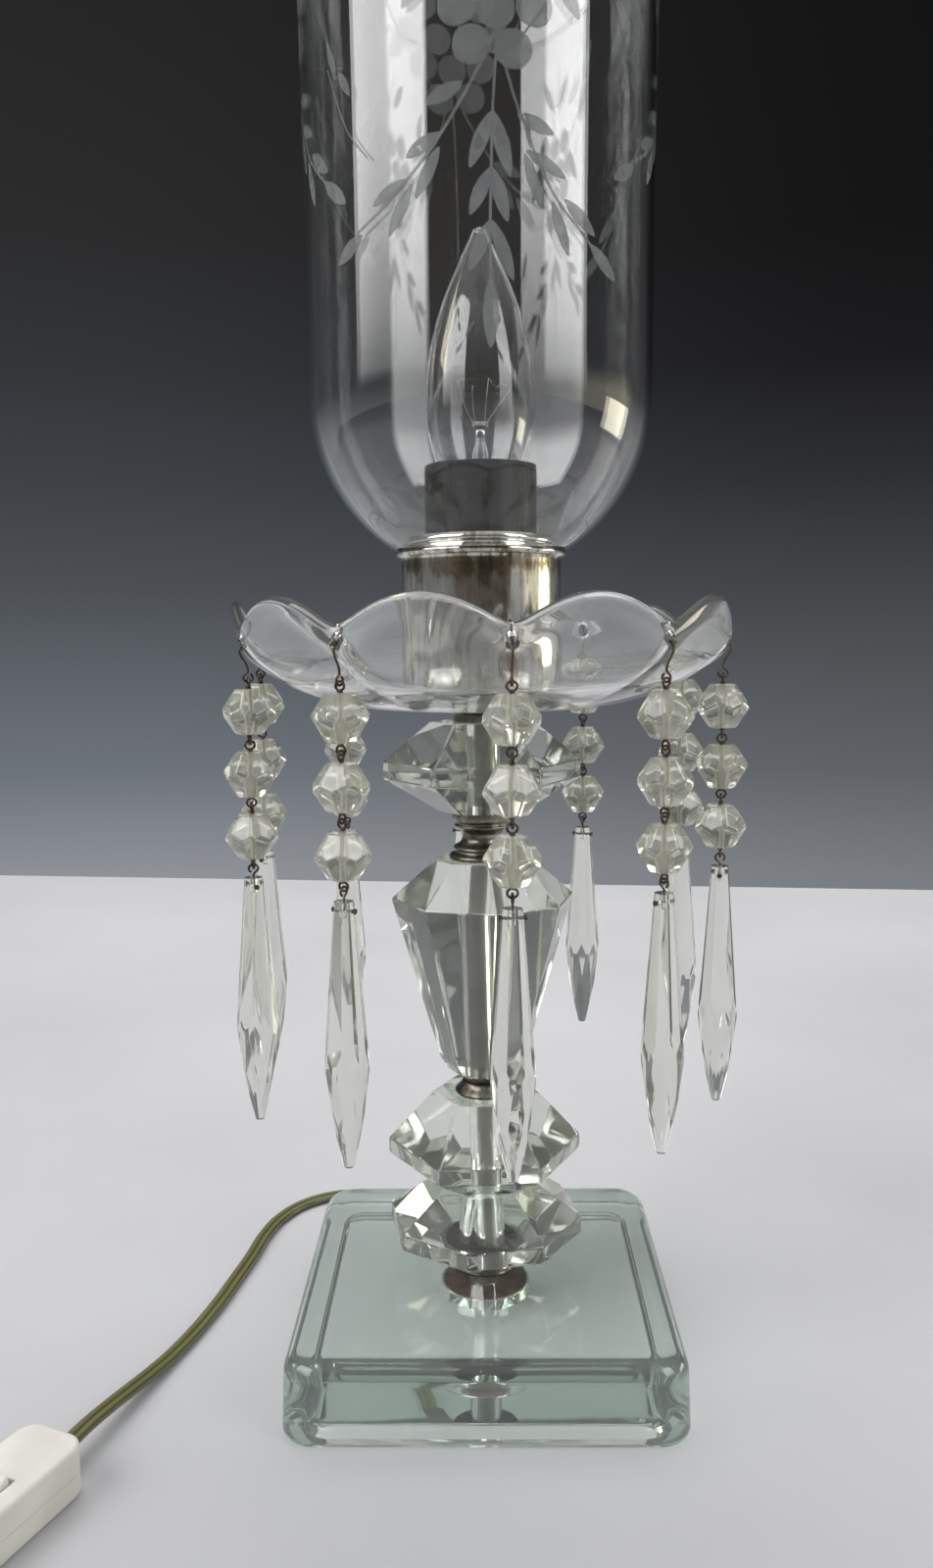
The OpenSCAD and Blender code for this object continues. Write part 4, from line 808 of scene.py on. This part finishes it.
upper_leaves = [((-24, 412), (-14, 424), 6.4), ((26, 410), (17, 424), 6.4), ((-32, 450), (-27, 434), 6.6),
                ((34, 452), (29, 436), 6.6), ((-12, 458), (-1, 446), 6.6), ((14, 460), (3, 446), 6.6),
                ((-52, 412), (-48, 400), 3.2), ((-42, 394), (-47, 402), 3.2)]
# The garland is cut four times round the shade, in full at the front only: its bearing, height above
# the first and number of leaves
cuts = bmesh.new()
for bearing, lift, kept in ((-87, 0, 19), (5, 22, 14), (98, 32, 12), (184, 22, 14)):
    bm = bmesh.new()
    for tip, stem, width in leaves[:kept] + upper_leaves:
        leaf(bm, tip, stem, width * 0.85)
    for points, width in stems:
        stalk(bm, points, width)
    for u, z in grapes:
        bmesh.ops.create_circle(bm, cap_ends=True, segments=28, radius=5.2, matrix=Matrix.Translation((u, z, 0)))
    bmesh.ops.triangulate(bm, faces=bm.faces)
    grown = bmesh.ops.extrude_face_region(bm, geom=bm.faces[:])["geom"]
    bmesh.ops.translate(bm, vec=(0, 0, 0.07), verts=[v for v in grown if isinstance(v, bmesh.types.BMVert)])
    bmesh.ops.recalc_face_normals(bm, faces=bm.faces)
    for v in bm.verts:
        angle = math.radians(bearing) + v.co.x / 54.8
        height = v.co.y + lift
        radius = 54.83 + 1.4 * max(0.0, (height - 331) / 169.6) ** 2.2 + v.co.z
        v.co = (radius * math.cos(angle), radius * math.sin(angle), height)
    pattern = bpy.data.meshes.new("pattern")
    bm.to_mesh(pattern)
    bm.free()
    cuts.from_mesh(pattern)
    bpy.data.meshes.remove(pattern)
finished("shade_cuts", cuts, [ground_glass], "shade", (), 30)


# --- Bulb
# A clear torpedo bulb with a brass candelabra cap. The filament zigzags between two lead wires above
# a glass stem, and a third wire holds it up in the middle. The print on the glass is left out.
base_level = 265.9
bulb_outside = bend((5.9, 21), (10.5, 24.3), (18.5, 36), (17.5, 53), 14) \
    + bend((17.5, 54), (17.5, 75), (7.2, 94.5), (2.2, 104.8), 18) + [Vector((1.1, 105.7)), Vector((0, 106))]
bulb_inside = [Vector((0, 104.2))] + list(reversed(
    bend((5.3, 21.9), (9.9, 25.2), (17.9, 36), (16.9, 53), 14)
    + bend((16.9, 54), (16.9, 75), (6.6, 94.5), (1.6, 104.2), 18)))
bulb_line = [Vector((4.3, 6.4)), Vector((4.8, 6.4)), Vector((4.8, 20.2))] + bulb_outside + bulb_inside \
    + [Vector((4.3, 21.3))]
bm = bmesh.new()
turned(bm, [(p.x, p.y + base_level) for p in bulb_line], 96)
thin_glass = glass("thin blown bulb glass", (0.0, 0.7, 0.6, 1), 0.8, 0.0)
finished("bulb_envelope", bm, [thin_glass], "bulb", ["bulb_glass"], 40)
bm = bmesh.new()
turned(bm, [(r, z + base_level) for r, z in (
    (0, 12), (4, 12), (3.4, 18), (2.9, 28), (2.6, 36), (1.7, 39), (1.35, 40.5), (1.35, 43), (2.3, 44.2),
    (2.9, 44.8), (2.6, 45.6), (0, 45.7))], 48)
finished("bulb_mount", bm, [thin_glass], "bulb", ["bulb_stem"], 50)

rolled_brass, tree = new_material("rolled brass cap")
place = add(tree, "TexCoord")
spots = add(tree, "TexNoise", {"Scale": 200, "Detail": 4}, {"Vector": place.outputs["Object"]})
tone = add(tree, "ValToRGB", {}, {"Fac": spots}, stops=[(0.3, "#a8935c"), (0.7, "#d3c08a")])
add(tree, "OutputMaterial", {}, {"Surface": add(
    tree, "BsdfPrincipled", {"Metallic": 1, "Roughness": 0.28}, {"Base Color": tone})})
thread_line = []
for k in range(5):
    thread_line += [(5.75 + 0.2 * math.sin(math.tau * s / 8), 5.6 + 2.54 * (k + s / 8)) for s in range(8)]
cap_line = [(0, 1.65), (2.4, 1.65), (3.2, 2.2), (5.2, 4.6)] + thread_line + [
    (5.95, 18.6), (5.95, 20.3), (5.85, 20.5), (5.7, 20.5), (5.1, 17), (4.9, 5.6), (0, 5.6)]
bm = bmesh.new()
turned(bm, [(r, z + base_level) for r, z in cap_line], 72)
finished("bulb_screw_cap", bm, [rolled_brass], "bulb", ["bulb_cap"], 40)
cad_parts["bulb_contact"].data.materials.clear()
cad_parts["bulb_contact"].data.materials.append(zinc_steel)

# Nickel-iron lead wires and a tungsten filament, dull grey
drawn_wire, tree = new_material("drawn nickel-iron wire")
place = add(tree, "TexCoord")
spots = add(tree, "TexNoise", {"Scale": 400, "Detail": 2}, {"Vector": place.outputs["Object"]})
tone = add(tree, "ValToRGB", {}, {"Fac": spots}, stops=[(0.3, "#6b665e"), (0.7, "#96918a")])
add(tree, "OutputMaterial", {}, {"Surface": add(
    tree, "BsdfPrincipled", {"Metallic": 1, "Roughness": 0.35}, {"Base Color": tone})})
bm = bmesh.new()
wires = [[(-1.6, 45.3), (-2.2, 50), (-2.4, 56.9), (-0.6, 57)], [(1.5, 45.3), (1.9, 52), (2.8, 59.6)],
         [(1.9, 45.2), (4.4, 48.8), (10, 56.2)], [(-1.9, 45.2), (-4.6, 50), (-7.4, 59.1)]]
for wire in wires:
    route = [Vector((p.x, 0, p.y + base_level)) for p in through(wire, 4)]
    swept(bm, arc(0, 0, 0.19, 0, 300, 5), route, wide=Vector((0, 1, 0)))
zigzag = [(-7.4, 59), (-4.1, 59.3), (-0.6, 59.2), (2.8, 59.6), (4, 57.6), (5.6, 56.6), (6.6, 57.9), (8.2, 57.2),
          (10, 56.2)]
route = [Vector((p.x, 0, p.y + base_level)) for p in through(zigzag, 3)]
swept(bm, arc(0, 0, 0.17, 0, 300, 5), route, wide=Vector((0, 1, 0)))
bmesh.ops.recalc_face_normals(bm, faces=bm.faces)
finished("bulb_wires", bm, [drawn_wire], "bulb", ["bulb_filament"], 60)


# --- Bead strings
# Three cut glass beads hang on bent wire from each hole of the dish. Each bead has small flat facets
# and a drilled bore, and each wire is bent into a loop above and below, with its end wrapped round.
bead_crystal = glass("cut crystal, hazy with wear", (0.35, 0.4, 0.0, 1), 7.0, 0.06, 0.03, 0.12, "#f1f0e8")

prism_crystal = glass("cut crystal, clear", (0.35, 0.4, 0.1, 1), 5.5, 0.03, 0.02, 0.05, "#f4f4f0")

# The bore is left matt from the drill, and dirt has made it yellowish
drilled_glass, tree = new_material("drilled glass, matt")
place = add(tree, "TexCoord")
dirt = add(tree, "TexNoise", {"Scale": 500, "Detail": 3}, {"Vector": place.outputs["Object"]})
tone = add(tree, "ValToRGB", {}, {"Fac": dirt}, stops=[(0.3, "#c3bfb0"), (0.7, "#dedcd3")])
add(tree, "OutputMaterial", {}, {"Surface": add(
    tree, "BsdfPrincipled", {"Roughness": 0.5, "Alpha": 0.4}, {"Base Color": tone})})

# Brass wire tarnished to dark bronze
bronze_wire, tree = new_material("tarnished brass wire")
place = add(tree, "TexCoord")
dirt = add(tree, "TexNoise", {"Scale": 600, "Detail": 3}, {"Vector": place.outputs["Object"]})
tone = add(tree, "ValToRGB", {}, {"Fac": dirt}, stops=[(0.3, "#3a322b"), (0.7, "#655848")])
add(tree, "OutputMaterial", {}, {"Surface": add(
    tree, "BsdfPrincipled", {"Metallic": 0.8, "Roughness": 0.42}, {"Base Color": tone})})

wire_section = arc(0, 0, 0.38, 0, 300, 5)


def eye(z, end):
    """Points of a wire loop round (0, z). It starts at the left and closes beside its own neck."""
    return [Vector((1.5 * math.cos(math.radians(a)), 0, z + end * 1.3 * math.sin(math.radians(a))))
            for a in range(-60, 241, 25)]


def ground(bm, facets):
    """Grinds flat facets round the Z axis: their count, first angle and two (radius, height) points."""
    for count, first, (r1, z1), (r2, z2) in facets:
        tilt = math.atan2(r2 - r1, z1 - z2)
        for k in range(count):
            a = math.radians(first + 360 * k / count)
            outward = Vector((math.cos(a), math.sin(a), 0))
            cut = bmesh.ops.bisect_plane(
                bm, geom=bm.verts[:] + bm.edges[:] + bm.faces[:], plane_co=outward * r1 + Vector((0, 0, z1)),
                plane_no=outward * math.cos(tilt) + Vector((0, 0, math.sin(tilt))), clear_outer=True)
            edges = [e for e in cut["geom_cut"] if isinstance(e, bmesh.types.BMEdge)]
            if edges:
                bmesh.ops.edgeloop_fill(bm, edges=edges)
    bmesh.ops.recalc_face_normals(bm, faces=bm.faces)


bead = bmesh.new()
bmesh.ops.create_cone(bead, cap_ends=True, segments=48, radius1=9.5, radius2=9.5, depth=14)
ground(bead, [(6, 0, (3.93, 7), (7.97, 0)), (6, 30, (7.97, 0), (3.93, -7))])
soften(bead, 0.9, 3, 12)
drill = bmesh.new()
bmesh.ops.create_cone(drill, cap_ends=True, segments=12, radius1=0.95, radius2=0.95, depth=20)
bead = cut_out(bead, [drill])
for face in bead.faces:
    face.material_index = int(max(v.co.xy.length for v in face.verts) < 1.2)
bead_mesh = bpy.data.meshes.new("bead")
bead.to_mesh(bead_mesh)
bead.free()

link = bmesh.new()
path = [Vector((p.x, p.y, p.z)) for p in eye(8.9, 1)] + [Vector((0, 0, 7.3)), Vector((0, 0, 2))]
path += [Vector((-p.x, 0, -p.z)) for p in reversed(path)]
swept(link, wire_section, path, wide=Vector((0, 1, 0)))
for end in (1, -1):
    loop = bmesh.ops.create_circle(link, segments=6, radius=0.3, matrix=(
        Matrix.Translation((0.62, 0, end * 7.1)) @ Matrix.Rotation(math.radians(90), 4, 'X')))["verts"]
    rings = [e for e in link.edges if all(v in loop for v in e.verts)]
    bmesh.ops.spin(link, geom=loop + rings, cent=(0, 0, 0), axis=(0, 0, 1), dvec=(0, 0, end * 0.02),
                   angle=math.tau * 2, steps=32)
bmesh.ops.recalc_face_normals(link, faces=link.faces)
link_mesh = bpy.data.meshes.new("link")
link.to_mesh(link_mesh)
link.free()

hook_line = [(-3.6, 5.2), (-3.7, 3.6), (-2.6, 2.2), (-1.3, 1.1), (1.4, -1.2), (2.2, -2.1), (2.4, -3.5),
             (1.6, -5.2), (0.6, -6.8), (0.1, -8.2), (0, -9.3)]
hook_route = [Vector((p.x, 0, p.y)) for p in through(hook_line, 3)]
hook_route += [Vector((-p.x, 0, p.z)) for p in eye(-11.1, -1)][::-1][1:]


def placed(bm, mesh, matrix):
    """Adds a copy of the mesh at its place."""
    fresh = len(bm.verts)
    bm.from_mesh(mesh)
    bm.verts.ensure_lookup_table()
    bmesh.ops.transform(bm, matrix=matrix, verts=bm.verts[fresh:])


quarter_turn = Matrix.Rotation(math.radians(90), 4, 'Z')
for k, place in enumerate(string_places, 1):
    beads, wires = bmesh.new(), bmesh.new()
    swept(wires, wire_section, hook_route, wide=Vector((0, 1, 0)))
    bmesh.ops.recalc_face_normals(wires, faces=wires.faces)
    for i, z in enumerate((-21.4, -40.6, -59.8)):
        spot = Matrix.Translation((0, 0, z)) @ (Matrix.Identity(4) if i == 1 else quarter_turn)
        placed(beads, bead_mesh, spot @ Matrix.Rotation(math.radians(11 * i + 7 * k), 4, 'Z'))
        placed(wires, link_mesh, spot)
    for bm in (beads, wires):
        bmesh.ops.transform(bm, matrix=place, verts=bm.verts)
    finished(f"beads_{k}", beads, [bead_crystal, drilled_glass], f"string_{k}", [f"bead_string_{k}"],
             0)
    finished(f"bead_wires_{k}", wires, [bronze_wire], f"string_{k}", (), 60)


# --- Prisms
# Icicle prisms of cut crystal, slender above and widest near the point. A wire loop goes into the
# drilled top and is held by a pin across it.
prism = bmesh.new()
bmesh.ops.create_cone(prism, cap_ends=True, segments=48, radius1=8, radius2=8, depth=78,
                      matrix=Matrix.Translation((0, 0, -39)))
ground(prism, [(8, 0, (2.75, -0.6), (6.2, -48.4)), (8, 22.5, (6.6, -44), (5.0, -61)),
               (8, 0, (6.2, -50), (3.3, -70)), (8, 22.5, (5.0, -61), (1.3, -78))])
drill, cross = bmesh.new(), bmesh.new()
bmesh.ops.create_cone(drill, cap_ends=True, segments=12, radius1=0.7, radius2=0.7, depth=9.2)
bmesh.ops.create_cone(cross, cap_ends=True, segments=12, radius1=0.53, radius2=0.53, depth=10, matrix=(
    Matrix.Translation((0, 0, -2.6)) @ Matrix.Rotation(math.radians(90), 4, 'X')))
prism = cut_out(prism, [drill, cross])
prism_mesh = bpy.data.meshes.new("prism")
prism.to_mesh(prism_mesh)
prism.free()

pin = bmesh.new()
for y, radius, length in ((0, 0.45, 7.4), (3.7, 0.85, 0.6), (-3.7, 0.85, 0.6)):
    bmesh.ops.create_cone(pin, cap_ends=True, segments=14, radius1=radius, radius2=radius, depth=length, matrix=(
        Matrix.Translation((0, y, -2.6)) @ Matrix.Rotation(math.radians(90), 4, 'X')))
soften(pin, 0.12, 2, 60)
swept(pin, wire_section, eye(2.8, 1) + [Vector((0, 0, 0.9)), Vector((0, 0, -2.6))], wide=Vector((0, 1, 0)))
bmesh.ops.recalc_face_normals(pin, faces=pin.faces)
pin_mesh = bpy.data.meshes.new("pin")
pin.to_mesh(pin_mesh)
pin.free()

for k, place in enumerate(string_places, 1):
    top = place @ Matrix.Translation((0, 0, 169.3 - 242.2))
    glass_part, wire_part = bmesh.new(), bmesh.new()
    placed(glass_part, prism_mesh, top)
    placed(wire_part, pin_mesh, top)
    finished(f"icicle_{k}", glass_part, [prism_crystal], f"drop_{k}", [f"prism_{k}"], 0)
    finished(f"icicle_wire_{k}", wire_part, [bronze_wire], f"drop_{k}", (), 50)
for mesh in (bead_mesh, link_mesh, prism_mesh, pin_mesh):
    bpy.data.meshes.remove(mesh)
